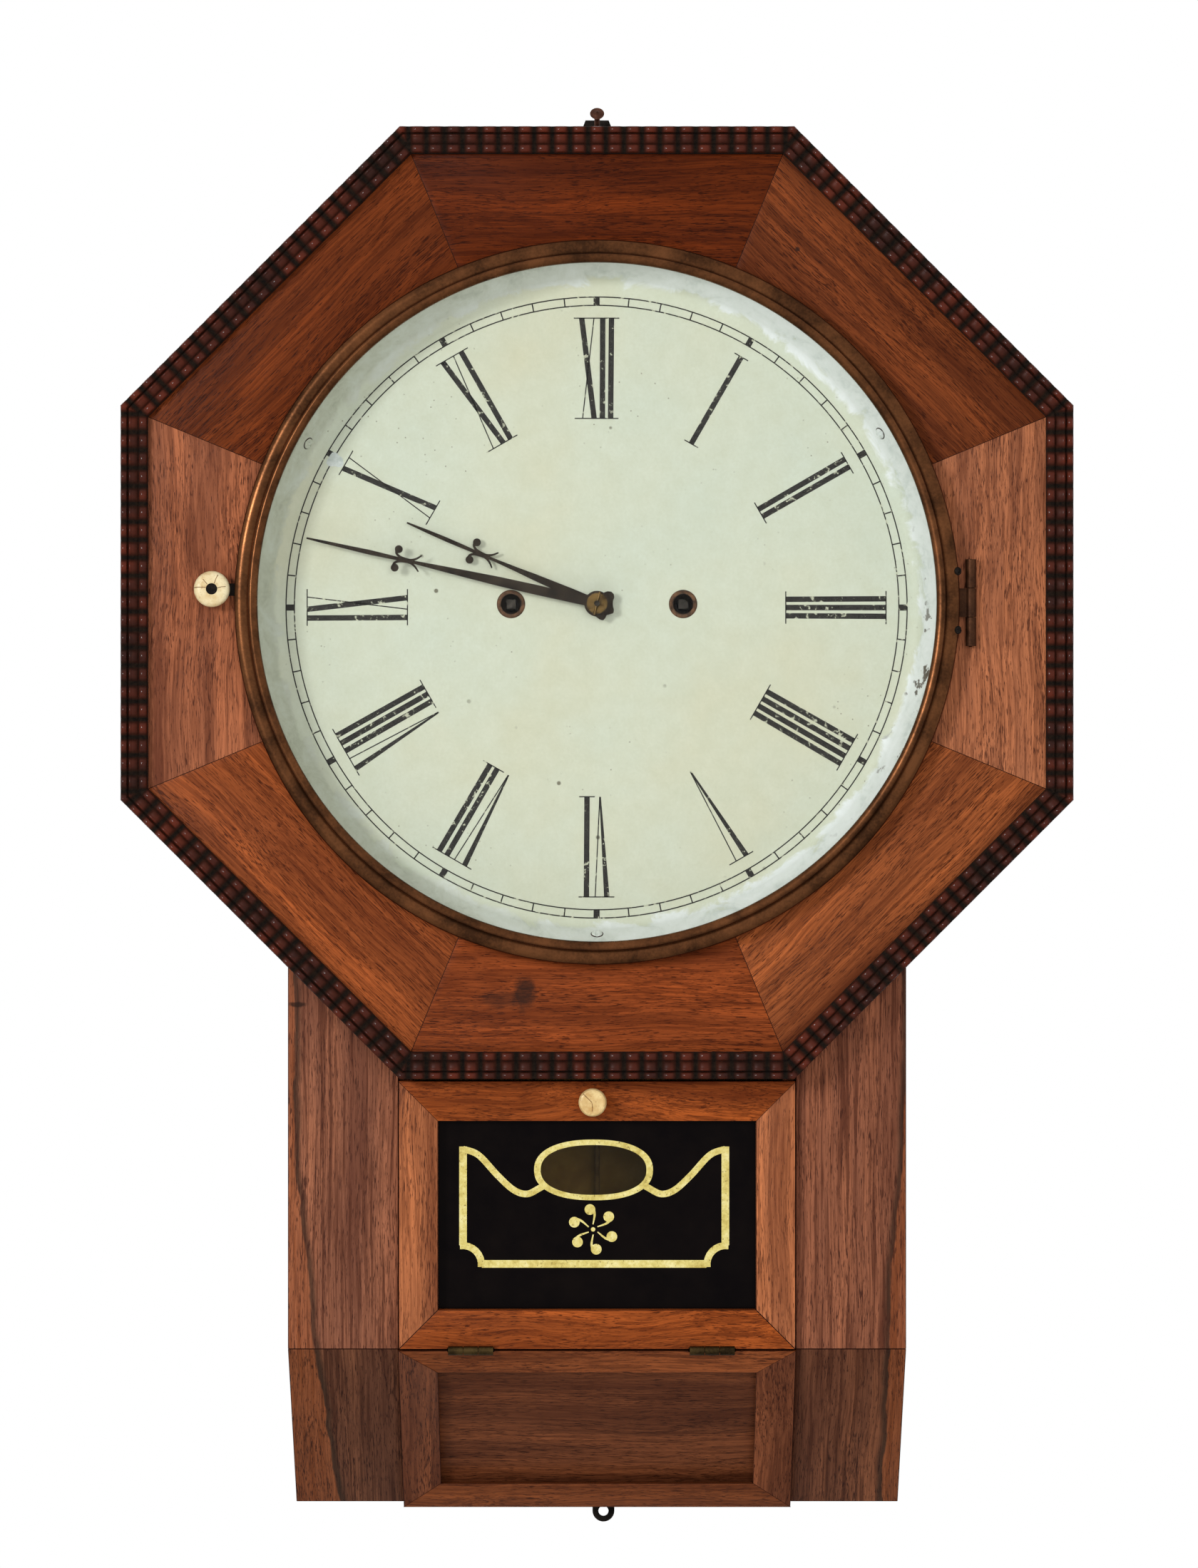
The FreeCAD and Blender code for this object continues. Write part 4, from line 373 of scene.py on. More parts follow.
# The dark finish of the eased edges is old polish and dirt, and painted shade in the mitres and gaps; round the dial
# screws it is a painted shadow.
joint_dirt = polished_wood("joint_dirt", GRAIN_SIDEWAYS, tone(56, 28, 18), 21, 0.4)
crack_stain = polished_wood("bone_crack_stain", GRAIN_SIDEWAYS, tone(132, 88, 48), 24, 0.4)
print(len(segment_wood) + 13, "wood finishes")

# %% [markdown]
# ## Metal, bone, paint and glass
# Old spun brass is brown with copper lights where hands have rubbed it. The dial is cream paint gone
# slightly green, whiter on the rim, with fine specks and a few chips on the right. Bone is pale with
# stains and small pits. Clear glass lets lamp light through, so the dial behind it stays lit. One recipe
# serves nearly all the metals, because they differ in colour, wear and gloss alone.

# %% Metal recipes


def old_metal(name, bright, dull, scale, rough=(0.28, 0.5), metallic=1.0, gloss=0.5):
    metal = Finish(name)
    clouds = metal.noise(metal.mapped(), scale, 6, 0.62)
    specks = metal.noise(metal.mapped(), scale * 14, 3, 0.6)
    worn = metal.blend(clouds, 0.75, specks)
    metal.set(Base_Color=metal.ramp(worn, (0.38, dull), (0.62, bright)), Metallic=metallic)
    metal.set(Roughness=metal.span(worn, 0.3, 0.7, rough[1], rough[0]), Specular_IOR_Level=gloss)
    return metal.bump(specks, 0.08, 0.0002).material


bezel_brass = old_metal("bezel_brass", tone(104, 65, 39), tone(58, 36, 22), 60, (0.24, 0.36))
brass = old_metal("movement_brass", tone(196, 158, 92), tone(140, 106, 58), 30)
dark_brass = old_metal("hinge_brass", tone(74, 59, 34), tone(36, 28, 17), 90, (0.35, 0.55))
brown_brass = old_metal("bezel_hinge_brass", tone(80, 50, 32), tone(38, 23, 16), 90, (0.4, 0.6), 0.6, 0.1)
collet_brass = old_metal("collet_brass", tone(110, 88, 50), tone(58, 44, 26), 220, (0.35, 0.55))
# The front plate's brass is painted nearly black: painted shade behind the dial.
plate_brass = old_metal("plate_brass", tone(52, 42, 28), tone(26, 21, 15), 60, (0.5, 0.7), 0.4, 0.2)
steel = old_metal("worked_steel", tone(150, 150, 148), tone(92, 90, 87), 60)
arbor_steel = old_metal("arbor_steel", tone(62, 58, 52), tone(18, 16, 14), 420, (0.4, 0.6))
iron = old_metal("black_iron", tone(46, 40, 36), tone(18, 16, 14), 70, (0.45, 0.7), 0.6, 0.1)
rod_wire = old_metal("rod_wire", tone(150, 122, 76), tone(104, 82, 50), 120, (0.5, 0.7), 0.3)
rusty_iron = old_metal("nail_iron", tone(108, 70, 54), tone(52, 32, 25), 160, (0.5, 0.75), 0.6, 0.1)
hand_steel = old_metal("hand_steel", tone(58, 49, 39), tone(28, 23, 18), 160, (0.5, 0.7), 0.0, 0.1)


def throat_brass(middle, height):
    """Brown brass round two winding squares, painted dark inside where a key goes in: painted shade in the hole."""
    brass = Finish("grommet_brass")
    x, z = brass.place()
    across = brass.less(brass.math("ABSOLUTE", x), middle)
    clouds = brass.noise(brass.mapped(), 420, 5, 0.65)
    ragged = brass.plus(brass.reach(across, brass.less(z, height)), brass.times(clouds, 0.0008))
    rim = brass.ramp(clouds, (0.35, tone(50, 35, 23)), (0.65, tone(110, 78, 53)))
    # The dark centre is painted shade in the key hole.
    throat_painted_shade = brass.ramp(clouds, (0.40, tone(12, 10, 8)), (0.70, tone(44, 38, 28)))
    brass.set(Base_Color=brass.mix(brass.span(ragged, 0.0054, 0.0049), rim, throat_painted_shade), Metallic=0.4)
    return brass.set(Roughness=0.55, Specular_IOR_Level=0.2).bump(clouds, 0.15, 0.0002).material


key_low, key_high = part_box("winding_grommets")
key_middle = (key_high.x - (key_high.z - key_low.z) / 2, (key_low.z + key_high.z) / 2)
grommet_brass = throat_brass(*key_middle)
print("thirteen metals; key holes at", [round(v, 4) for v in key_middle])

# %% Bone, paper and dial recipes


def bone_finish(name, shaded, lit):
    bone = Finish(name)
    clouds = bone.noise(bone.mapped(), 160, 5, 0.6)
    pits = bone.noise(bone.mapped((1, 0.2, 1)), 900, 3, 0.6)
    stain = bone.ramp(bone.noise(bone.mapped(), 260, 4, 0.6), (0.58, 0.0), (0.72, 0.6))
    pale = bone.ramp(clouds, (0.35, shaded), (0.62, lit))
    stained = bone.mix(stain, pale, tone(176, 132, 78))
    bone.set(Base_Color=bone.mix(bone.span(pits, 0.3, 0.45, 0.35, 0.0), stained, tone(150, 112, 64)))
    bone.set(Roughness=bone.span(pits, 0.3, 0.6, 0.5, 0.3), Specular_IOR_Level=0.3)
    return bone.bump(pits, 0.12, 0.0002).material


def aged_paper():
    paper = Finish("aged_paper")
    stains = paper.noise(paper.mapped(), 18, 6, 0.6)
    fibres = paper.noise(paper.mapped(), 420, 3, 0.6)
    warm = paper.ramp(stains, (0.3, tone(120, 92, 44)), (0.5, tone(176, 144, 78)), (0.7, tone(204, 176, 108)))
    paper.set(Base_Color=paper.mix(paper.span(fibres, 0.3, 0.7, 0.0, 0.25), warm, tone(96, 72, 36)))
    paper.set(Roughness=0.9, Specular_IOR_Level=0.1)
    return paper.bump(fibres, 0.2, 0.0002).material


FLAT_RADIUS = 0.1455


def strewn_dirt(paint, under, scale, edge, strength, patches, bounds, colour):
    """Round specks in the middles of Voronoi cells, only in the patches that a broad noise picks."""
    cells = paint.add("TexVoronoi", {"Vector": paint.mapped(), "Scale": scale})
    speck = paint.ramp(cells.outputs["Distance"], (edge[0], strength), (edge[1], 0.0))
    chosen = paint.ramp(paint.noise(paint.mapped(), *patches), (bounds[0], 0.0), (bounds[1], 1.0))
    return paint.mix(paint.times(speck, chosen), under, colour)


def dial_paint():
    paint = Finish("dial_paint")
    x, z = paint.place()
    clouds = paint.noise(paint.mapped(), 9, 4, 0.55)
    mottle = paint.noise(paint.mapped(), 110, 5, 0.65)
    grit = paint.noise(paint.mapped(), 900, 4, 0.7)
    cream = paint.ramp(clouds, (0.30, tone(216, 215, 188)), (0.48, tone(215, 220, 200)),
                       (0.70, tone(211, 220, 204)))
    soiled = paint.mix(paint.span(mottle, 0.3, 0.7, 0.0, 0.2), cream, tone(186, 188, 154))
    face = paint.mix(paint.span(grit, 0.35, 0.65, 0.0, 0.16), soiled, tone(178, 180, 148))
    spotted = strewn_dirt(paint, face, 62.0, (0.045, 0.075), 0.8, (31, 2), (0.55, 0.61), tone(84, 76, 52))
    specked = strewn_dirt(paint, spotted, 240.0, (0.05, 0.10), 0.7, (17, 3), (0.50, 0.60), tone(112, 104, 76))
    daubs = paint.noise(paint.mapped(), 46, 6, 0.68, 0.6)
    ragged = paint.plus(paint.reach(x, z), paint.times(paint.less(daubs, 0.5), 0.022))
    rim_share = paint.span(ragged, FLAT_RADIUS, FLAT_RADIUS + 0.0022)
    streaks = paint.noise(paint.mapped((1, 0.3, 1)), 240, 5, 0.7, 1.2)
    worn = paint.blend(daubs, 0.7, streaks)
    stops = (0.34, 0.48, 0.62)
    grey = paint.ramp(worn, *zip(stops, (tone(172, 176, 156), tone(196, 200, 181), tone(208, 214, 200))))
    rim_white_right = paint.ramp(worn, *zip(stops, (tone(200, 209, 204), tone(226, 232, 228), tone(235, 240, 238))))
    # The rim's paint turns greyer and darker towards the left and whiter and bluer towards the right.
    white = paint.mix(paint.span(x, -0.12, 0.06), grey, rim_white_right)
    painted = paint.mix(rim_share, specked, white)
    right = paint.span(x, 0.10, 0.15)
    low = paint.span(z, 0.05, -0.02)
    chips = paint.ramp(paint.noise(paint.mapped(), 95, 5, 0.6), (0.60, 0.0), (0.63, 1.0))
    bare = paint.times(chips, right, low, rim_share)
    paint.set(Base_Color=paint.mix(bare, painted, tone(92, 84, 72)), Specular_IOR_Level=0.2)
    paint.set(Roughness=paint.span(mottle, 0.3, 0.7, 0.5, 0.68))
    height = paint.less(paint.times(daubs, rim_share), bare)
    return paint.bump(paint.plus(height, paint.times(mottle, 0.2)), 0.25, 0.0004).material


def printers_ink():
    ink = Finish("dial_ink")
    wear = ink.noise(ink.mapped(), 420, 5, 0.68)
    loss = ink.ramp(wear, (0.60, 0.0), (0.63, 1.0))
    black = ink.ramp(wear, (0.35, tone(34, 33, 31)), (0.6, tone(52, 50, 46)))
    ink.set(Base_Color=ink.mix(loss, black, tone(192, 194, 170)), Roughness=0.6)
    ink.set(Specular_IOR_Level=0.15)
    return ink.bump(wear, 0.1, 0.0001).material


def touch_up_paint():
    """A dab of newer, bluer paint that someone put over the print."""
    dab = Finish("dial_touch_up")
    mottle = dab.noise(dab.mapped(), 330, 5, 0.65)
    dab.set(Base_Color=dab.ramp(mottle, (0.32, tone(186, 196, 190)), (0.62, tone(218, 224, 220))), Roughness=0.6)
    return dab.set(Specular_IOR_Level=0.15).bump(mottle, 0.2, 0.0002).material


bones = {"bezel_knob": bone_finish("pale_bone", tone(220, 194, 142), tone(241, 226, 184)),
         "door_knob": bone_finish("yellow_bone", tone(206, 166, 104), tone(240, 212, 152))}
touch_up = touch_up_paint()
paper = aged_paper()
dial_cream = dial_paint()
ink = printers_ink()
print("two bones, paper, two dial paints and ink")

# %% Glass and gilding recipes


def clear_glass(name, tint):
    """Glass that lamp and room light pass straight through, so what is behind it stays lit."""
    glass = Finish(name)
    ripple = glass.noise(glass.mapped(), 14, 2, 0.5)
    glass.set(Base_Color=tint, Transmission_Weight=1.0, Roughness=0.015, IOR=1.16)
    glass.bump(ripple, 0.02, 0.0005)
    path = glass.add("LightPath")
    clear = glass.add("BsdfTransparent", {"Color": tint}).outputs[0]
    pane = glass.shader.outputs[0]
    for light in ("Is Diffuse Ray", "Is Shadow Ray"):
        pane = glass.add("MixShader", {0: path.outputs[light], 1: pane, 2: clear}).outputs[0]
    glass.feed(glass.output.inputs["Surface"], pane)
    return glass.material


def black_paint():
    black = Finish("tablet_black")
    clouds = black.noise(black.mapped(), 60, 5, 0.6)
    black.set(Base_Color=black.ramp(clouds, (0.35, tone(8, 5, 6)), (0.68, tone(15, 10, 9))))
    black.set(Roughness=black.span(clouds, 0.3, 0.7, 0.12, 0.24), Specular_IOR_Level=0.03)
    return black.bump(clouds, 0.03, 0.0003).material


def gold_leaf():
    gold = Finish("gold_leaf")
    clouds = gold.noise(gold.mapped(), 240, 6, 0.7)
    wear = gold.noise(gold.mapped(), 900, 4, 0.65)
    leaf = gold.ramp(clouds, (0.3, tone(186, 164, 78)), (0.5, tone(222, 206, 122)), (0.7, tone(242, 232, 168)))
    lost = gold.ramp(wear, (0.60, 0.0), (0.68, 0.85))
    gold.set(Base_Color=gold.mix(lost, leaf, tone(124, 98, 40)), Roughness=gold.span(clouds, 0.3, 0.7, 0.5, 0.36))
    gold.set(Metallic=0.25, Specular_IOR_Level=0.3)
    return gold.bump(wear, 0.12, 0.0001).material


dial_glass = clear_glass("bezel_glass_clear", (0.985, 0.99, 0.985, 1))
window_glass = clear_glass("tablet_window_glass", (0.90, 0.86, 0.74, 1))
tablet_black = black_paint()
gilding = gold_leaf()
print("glass, black paint and gold leaf")

# %% [markdown]
# ## Making pieces
# A helper turns vertices and faces into a named piece at the origin, gives it a finish, and lets it ride
# on a CAD body. Turned work comes from a profile of depth and radius, closed round the axis. Flat work,
# such as print and gilding, is an outline with a paper-thin thickness.

# %% Piece helpers


def piece(name, verts, faces, material, body, slot, smooth=False):
    mesh = bpy.data.meshes.new(name)
    mesh.from_pydata([tuple(v) for v in verts], [], faces)
    return settle(name, mesh, material, body, smooth)


def settle(name, mesh, material, body, smooth=False, others=(), weld=1e-6):
    """Join doubles, turn the faces outwards and let the piece ride on its body."""
    shape = bmesh.new()
    shape.from_mesh(mesh)
    if weld:
        bmesh.ops.remove_doubles(shape, verts=shape.verts, dist=weld)
        bmesh.ops.dissolve_degenerate(shape, edges=shape.edges, dist=weld / 10)
    bmesh.ops.recalc_face_normals(shape, faces=shape.faces)
    shape.to_mesh(mesh)
    shape.free()
    finishes = [face.material_index if others else 0 for face in mesh.polygons]
    mesh.materials.clear()
    for finish in (material, *others):
        mesh.materials.append(finish)
    mesh.polygons.foreach_set("material_index", finishes)
    mesh.polygons.foreach_set("use_smooth", [smooth] * len(mesh.polygons))
    made = bpy.data.objects.new(name, mesh)
    bpy.context.scene.collection.objects.link(made)
    if smooth:
        soften(made)
    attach(made, body)
    return made


def soften(made, angle=math.radians(32)):
    """Keep corners crisp where faces meet at more than the angle."""
    shape = bmesh.new()
    shape.from_mesh(made.data)
    for edge in shape.edges:
        edge.smooth = len(edge.link_faces) == 2 and edge.calc_face_angle(0) < angle
    shape.to_mesh(made.data)
    shape.free()


def turned_mesh(profile, steps, x=0.0, z=0.0):
    """Closed ring of (depth, radius) corners about the depth axis at (x, z), in millimetres."""
    verts, faces = [], []
    count = len(profile)
    for angle in turns(steps):
        for depth, radius in profile:
            verts.append(((x + radius * math.sin(angle)) * MM, -depth * MM, (z + radius * math.cos(angle)) * MM))
    for step in range(steps):
        this, following = step * count, (step + 1) % steps * count
        for corner in range(count):
            after = (corner + 1) % count
            faces.append((this + corner, this + after, following + after, following + corner))
    return verts, faces


def turns(count):
    return [2 * math.pi * i / count for i in range(count)]


def round_outline(radii, x=0.0, z=0.0):
    """Points round (x, z), clockwise from the top, one for each radius."""
    return [(x + r * math.sin(a), z + r * math.cos(a)) for r, a in zip(radii, turns(len(radii)))]


def joined(*shapes):
    """Several pairs of vertices and faces as one pair."""
    verts, faces = [], []
    for more, sides in shapes:
        faces += [tuple(i + len(verts) for i in side) for side in sides]
        verts += more
    return verts, faces


def flat_mesh(outlines, back, front):
    """Thin prisms from (x, z) outlines in millimetres, between two depths."""
    verts, faces = [], []
    for outline in outlines:
        first, count = len(verts), len(outline)
        verts += [(x * MM, -back * MM, z * MM) for x, z in outline]
        verts += [(x * MM, -front * MM, z * MM) for x, z in outline]
        faces.append(tuple(range(first, first + count)))
        faces.append(tuple(range(first + 2 * count - 1, first + count - 1, -1)))
        for i in range(count):
            j = (i + 1) % count
            faces.append((first + i, first + j, first + count + j, first + count + i))
    return verts, faces


def round_edges(shape, ease, rows=2):
    """Merge a board's loose triangles and ease its sharp edges, whose faces take the second finish."""
    bmesh.ops.remove_doubles(shape, verts=shape.verts, dist=2e-6)
    bmesh.ops.dissolve_limit(shape, angle_limit=math.radians(1), verts=shape.verts, edges=shape.edges)
    sharp = [e for e in shape.edges if len(e.link_faces) == 2 and e.calc_face_angle(0) > math.radians(25)]
    bmesh.ops.bevel(shape, geom=sharp, offset=ease * MM, offset_type="OFFSET", segments=rows, profile=0.5,
                    affect="EDGES", clamp_overlap=True, material=1)
    bmesh.ops.triangulate(shape, faces=[f for f in shape.faces if len(f.verts) > 4])


def eased(name, material, body, ease):
    """A CAD board with its sharp edges eased; their faces take a dark finish that is old polish and dirt, and painted
    shade in the joints.
    """
    mesh = nodes[name].data.copy()
    shape = bmesh.new()
    shape.from_mesh(mesh)
    round_edges(shape, ease)
    shape.to_mesh(mesh)
    shape.free()
    made = settle(name + "_eased", mesh, material, body, True, (joint_dirt,))
    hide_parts(name)
    return made


def dress(material, *names):
    for name in names:
        nodes[name].data.materials.clear()
        nodes[name].data.materials.append(material)


print("piece helpers ready")

# %% [markdown]
# ## Wooden case
# The boards keep their CAD shape. Each visible one gets eased edges, because a real board never ends in a
# perfect line, and the thin dark lines of the octagon's mitres then come from the two eased edges. A modifier
# could ease them, but a bevel of the mesh also tells the new faces apart, and these take a darker finish:
# old polish and dirt, and painted shade in the mitres and the gaps between boards.

# %% Boards
for index, wood in segment_wood.items():
    eased(f"octagon_segment_{index}", wood, "case", 0.16)
for side in ("left", "right"):
    eased(f"drop_stile_{side}", stile_woods[side], "case", 0.3)
    eased(f"canted_panel_{side}", canted_woods[side], "case", 0.3)
eased("apron_panel", panel_wood, "case", 0.3)
dress(side_wood, "case_side_left", "case_side_right", "case_crown", "case_bottom")
dress(pine, "backboard", "head_rail", "movement_blocks")
dress(paper, "backing_paper")
print("boards dressed")

# %% [markdown]
# ## Mitred frames
# The door and the apron have two rails and two stiles each, and each pair meets in a mitre. Merged as they
# are, the four boards would grow together at the mitres. So the triangles are sorted first: a point just
# under each triangle lies inside its own board, and the nearest side of the frame says which one it is.

# %% Door and apron frames
UNDER_FACE = 0.0002


def sorted_boards(name, rise, stile, foot, head):
    """A frame's triangles by board: left, right, foot, head. Rise is up along the frame's plane."""
    mesh = nodes[name].data
    up = Vector(rise).normalized()
    across = [v.co.x for v in mesh.vertices]
    along = [v.co.dot(up) for v in mesh.vertices]
    boards = [[], [], [], []]
    for face in mesh.polygons:
        inside = face.center - face.normal * UNDER_FACE
        reach = ((inside.x - min(across)) / stile, (max(across) - inside.x) / stile,
                 (inside.dot(up) - min(along)) / foot, (max(along) - inside.dot(up)) / head)
        boards[reach.index(min(reach))].append([mesh.vertices[i].co.copy() for i in face.vertices])
    return boards


def framed(name, body, rise, widths, rails, stiles, ease=0.2):
    whole = bmesh.new()
    for index, triangles in enumerate(sorted_boards(name, rise, *widths)):
        board = bmesh.new()
        for corners in triangles:
            board.faces.new([board.verts.new(corner) for corner in corners])
        round_edges(board, ease)
        for face in board.faces:
            if index < 2 and face.material_index == 0:
                face.material_index = 2
        part = bpy.data.meshes.new("board")
        board.to_mesh(part)
        board.free()
        whole.from_mesh(part)
    mesh = bpy.data.meshes.new(name + "_eased")
    whole.to_mesh(mesh)
    whole.free()
    made = settle(name + "_eased", mesh, rails, body, True, (joint_dirt, stiles), 0)
    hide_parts(name)
    return len(mesh.polygons)


DOOR_BOARDS = (0.0179, 0.0179, 0.0179)
APRON_BOARDS = (0.0178, 0.0169, 0.0149)
door_faces = framed("door_frame", "door", (0, 0, 1), DOOR_BOARDS, rail_wood, door_stile_wood)
apron_faces = framed("apron_frame", "case", CANT, APRON_BOARDS, apron_rail_wood, apron_stile_wood)
print("two mitred frames:", door_faces, "and", apron_faces, "faces")

# %% [markdown]
# ## Ripple moulding
# The edge of the octagon is a strip with a bead along each side and two fine ridges between them, and waves
# were scraped across all of it. The shape follows a rule, so Geometry Nodes make it: a grid is folded into the
# strip's section, waved along its length, cut to the mitre, and copied eight times round the octagon.

# %% Geometry Nodes helpers


class Tree(Recipe):
    """A Geometry Nodes tree with named inputs for its sizes."""

    def __init__(self, name, **sizes):
        super().__init__(bpy.data.node_groups.new(name, "GeometryNodeTree"))
        self.sizes = sizes
        kinds = {int: "Int", float: "Float", bpy.types.Material: "Material", bpy.types.Object: "Object"}
        sockets = [("Geometry", "INPUT", "Geometry")]
        sockets += [(key, "INPUT", kinds[type(value)]) for key, value in sizes.items()]
        sockets.append(("Geometry", "OUTPUT", "Geometry"))
        for key, way, kind in sockets:
            self.tree.interface.new_socket(key, in_out=way, socket_type="NodeSocket" + kind)
        self.start = self.tree.nodes.new("NodeGroupInput")
        self.end = self.tree.nodes.new("NodeGroupOutput")

    def size(self, key):
        return self.start.outputs[key]

    def vector(self, x=0.0, y=0.0, z=0.0):
        return self.add("CombineXYZ", {0: x, 1: y, 2: z}).outputs[0]

    def curve(self, value, points):
        """A drawn line of straight runs through (input, output) points."""
        node = self.add("FloatCurve", {"Value": value})
        line = node.mapping.curves[0]
        line.points[0].location, line.points[1].location = points[0], points[-1]
        for point in points[1:-1]:
            line.points.new(*point)
        for point in line.points:
            point.handle_type = "VECTOR"
        node.mapping.update()
        return node.outputs[0]

    def round_the_axis(self, geometry, count, turn):
        """Copies about the depth axis, one turn apart."""
        whole = self.add("GeometryNodeGeometryToInstance", {0: geometry}).outputs[0]
        copies = self.add("GeometryNodeDuplicateElements", {"Geometry": whole, "Amount": count},
                          domain="INSTANCE").outputs
        euler = self.vector(0.0, self.times(copies["Duplicate Index"], turn), 0.0)
        spun = self.add("GeometryNodeRotateInstances", {"Instances": copies["Geometry"], "Rotation": euler})
        return spun.outputs[0]

    def close(self, geometry, material, weld=0.0):
        real = self.add("GeometryNodeRealizeInstances", {0: geometry}).outputs[0]
        if weld:
            real = self.add("GeometryNodeMergeByDistance", {"Geometry": real, "Distance": weld}).outputs[0]
        done = self.add("GeometryNodeSetMaterial", {"Geometry": real, "Material": material}).outputs[0]
        self.tree.links.new(done, self.end.inputs[0])

    def mesh(self, name, base=None):
        """Run the tree once and keep its result as a plain mesh."""
        holder = bpy.data.objects.new(name + "_holder", base or bpy.data.meshes.new(name + "_seed"))
        bpy.context.scene.collection.objects.link(holder)
        modifier = holder.modifiers.new("build", "NODES")
        modifier.node_group = self.tree
        for item in self.tree.interface.items_tree:
            if item.item_type == "SOCKET" and item.in_out == "INPUT" and item.name in self.sizes:
                modifier[item.identifier] = self.sizes[item.name]
        depsgraph = bpy.context.evaluated_depsgraph_get()
        mesh = bpy.data.meshes.new_from_object(holder.evaluated_get(depsgraph))
        mesh.name = name
        holder.modifiers.clear()
        bpy.data.objects.remove(holder)
        return mesh


print("tree helpers ready")

# %% Ripple finish


def rippled_wood():
    """Red-brown polish on the crests; the hollows between the waves and the low parts of the section are dark, partly
    dust and partly painted shade.
    """
    wood = Finish("ripple_wood")
    groove = wood.add("Attribute", attribute_name="groove").outputs["Fac"]
    clouds = wood.noise(wood.mapped(), 45, 5, 0.6)
    specks = wood.noise(wood.mapped(), 620, 4, 0.6)
    crest = wood.ramp(clouds, (0.35, tone(46, 14, 5)), (0.65, tone(90, 32, 13)))
    dust_and_shade = wood.ramp(specks, (0.35, tone(10, 6, 4)), (0.70, tone(33, 22, 14)))
    wood.set(Base_Color=wood.mix(wood.span(groove, 0.06, 0.85, 0.0, 1.0), crest, dust_and_shade))
    wood.set(Roughness=wood.span(groove, 0.1, 0.6, 0.16, 0.95), Specular_IOR_Level=0.16)
    return wood.bump(specks, 0.1, 0.0002).material


ripple_wood = rippled_wood()

# %% Ripple tree
OCTAGON_HALF = 0.216
OCTAGON_FACE = 0.118
RIPPLE_SIDES = 8
HALF_SLOPE = math.tan(math.pi / RIPPLE_SIDES)
WAVES, WAVE_STEPS, SECTION_STEPS = 22, 6, 72
SECTION_ROWS = 60
VALLEY_POWER = 1.5
HOLLOW_SHADE = 1.7
WALL_UP, TOP_END, WALL_DOWN = 0.05, 0.88, 0.93


def across_top(share):
    return WALL_UP + (TOP_END - WALL_UP) * share


def ripple_section():
    """Height of the section, from 0 to 1, over its width: bead, thin ridge with a quarter round, bead."""
    rounds = ((0.0, 0.13, 0.13, 1.0, 0.14), (0.0, 0.36, 0.07, 0.90, 0.10),
              (0.40, 0.40, 0.28, 0.84, 0.22), (0.0, 0.83, 0.16, 0.97, 0.14))
    floor, shoulder = 0.60, 0.80
    rows = []
    for i in range(SECTION_ROWS + 1):
        share = i / SECTION_ROWS
        height = floor
        for start, middle, half, top, sag in rounds:
            off = abs(share - middle) / half
            if share >= start and off <= 1:
                plunge = max(0, off - shoulder) / (1 - shoulder)
                height = max(height, (top - sag * off * off) * (1 - plunge) + floor * plunge)
        rows.append((across_top(share), height))
    return [(0.0, 0.0)] + rows + [(WALL_DOWN, 0.0), (1.0, 0.0)]


def ripple_tree():
    tree = Tree("ripple_moulding", Reach=OCTAGON_HALF - 1e-6, Face=OCTAGON_FACE, Width=0.0124, Height=0.006,
                Swell=0.0016, Waves=float(WAVES), Wood=ripple_wood)
    grid = tree.add("GeometryNodeMeshGrid", {"Size X": 1.0, "Size Y": 1.0, "Vertices X": WAVES * WAVE_STEPS + 1,
                                             "Vertices Y": SECTION_STEPS + 1})
    place = tree.add("SeparateXYZ", {0: tree.add("GeometryNodeInputPosition").outputs[0]})
    share = tree.plus(place.outputs["Y"], 0.5)
    across = tree.curve(share, [(0.0, 0.0), (WALL_UP, 0.0), (TOP_END, 1.0), (WALL_DOWN, 1.0), (1.0, 0.0)])
    section = tree.curve(share, ripple_section())
    radial = tree.less(tree.size("Reach"), tree.times(across, tree.size("Width")))
    half_side = tree.times(tree.size("Reach"), HALF_SLOPE)
    mitre = tree.times(radial, HALF_SLOPE)
    free = tree.times(place.outputs["X"], half_side, 2.0)
    along = tree.math("MAXIMUM", tree.math("MINIMUM", free, mitre), tree.times(mitre, -1.0))
    phase = tree.times(tree.math("DIVIDE", along, half_side), tree.size("Waves"), math.pi)
    dipping = tree.times(tree.less(1.0, tree.math("COSINE", phase)), 0.5)
    valley = tree.math("POWER", dipping, VALLEY_POWER)
    # Darkness of the valleys and the low parts of the section, for the finish: dust and painted shade.
    shaded = tree.math("MAXIMUM", valley, tree.times(tree.less(1.0, section), HOLLOW_SHADE))
    crest = tree.less(tree.size("Height"), tree.times(valley, tree.size("Swell")))
    depth = tree.times(tree.plus(tree.size("Face"), tree.times(section, crest)), -1.0)
    marked = tree.add("GeometryNodeStoreNamedAttribute", {"Geometry": grid.outputs[0], "Name": "groove",
                                                          "Value": shaded}, data_type="FLOAT", domain="POINT")
    folded = tree.add("GeometryNodeSetPosition", {"Geometry": marked.outputs[0],
                                                  "Position": tree.vector(along, depth, radial)})
    welded = tree.add("GeometryNodeMergeByDistance", {"Geometry": folded.outputs[0], "Distance": 1e-6})
    ring = tree.round_the_axis(welded.outputs[0], RIPPLE_SIDES, 2 * math.pi / RIPPLE_SIDES)
    tree.close(ring, tree.size("Wood"), 2e-6)
    return tree


ripple_mesh = ripple_tree().mesh("ripple_moulding")
ripples = settle("ripple_moulding", ripple_mesh, ripple_wood, "case", True)
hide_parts("ripple_mouldings")
print("ripple moulding:", len(ripples.data.polygons), "faces")

# %% [markdown]
# ## Bezel and glass
# The bezel is spun brass: one broad roll outside and a narrow bead that holds the glass. It is turned here
# with many more steps than the CAD solid, so its long highlights stay smooth.

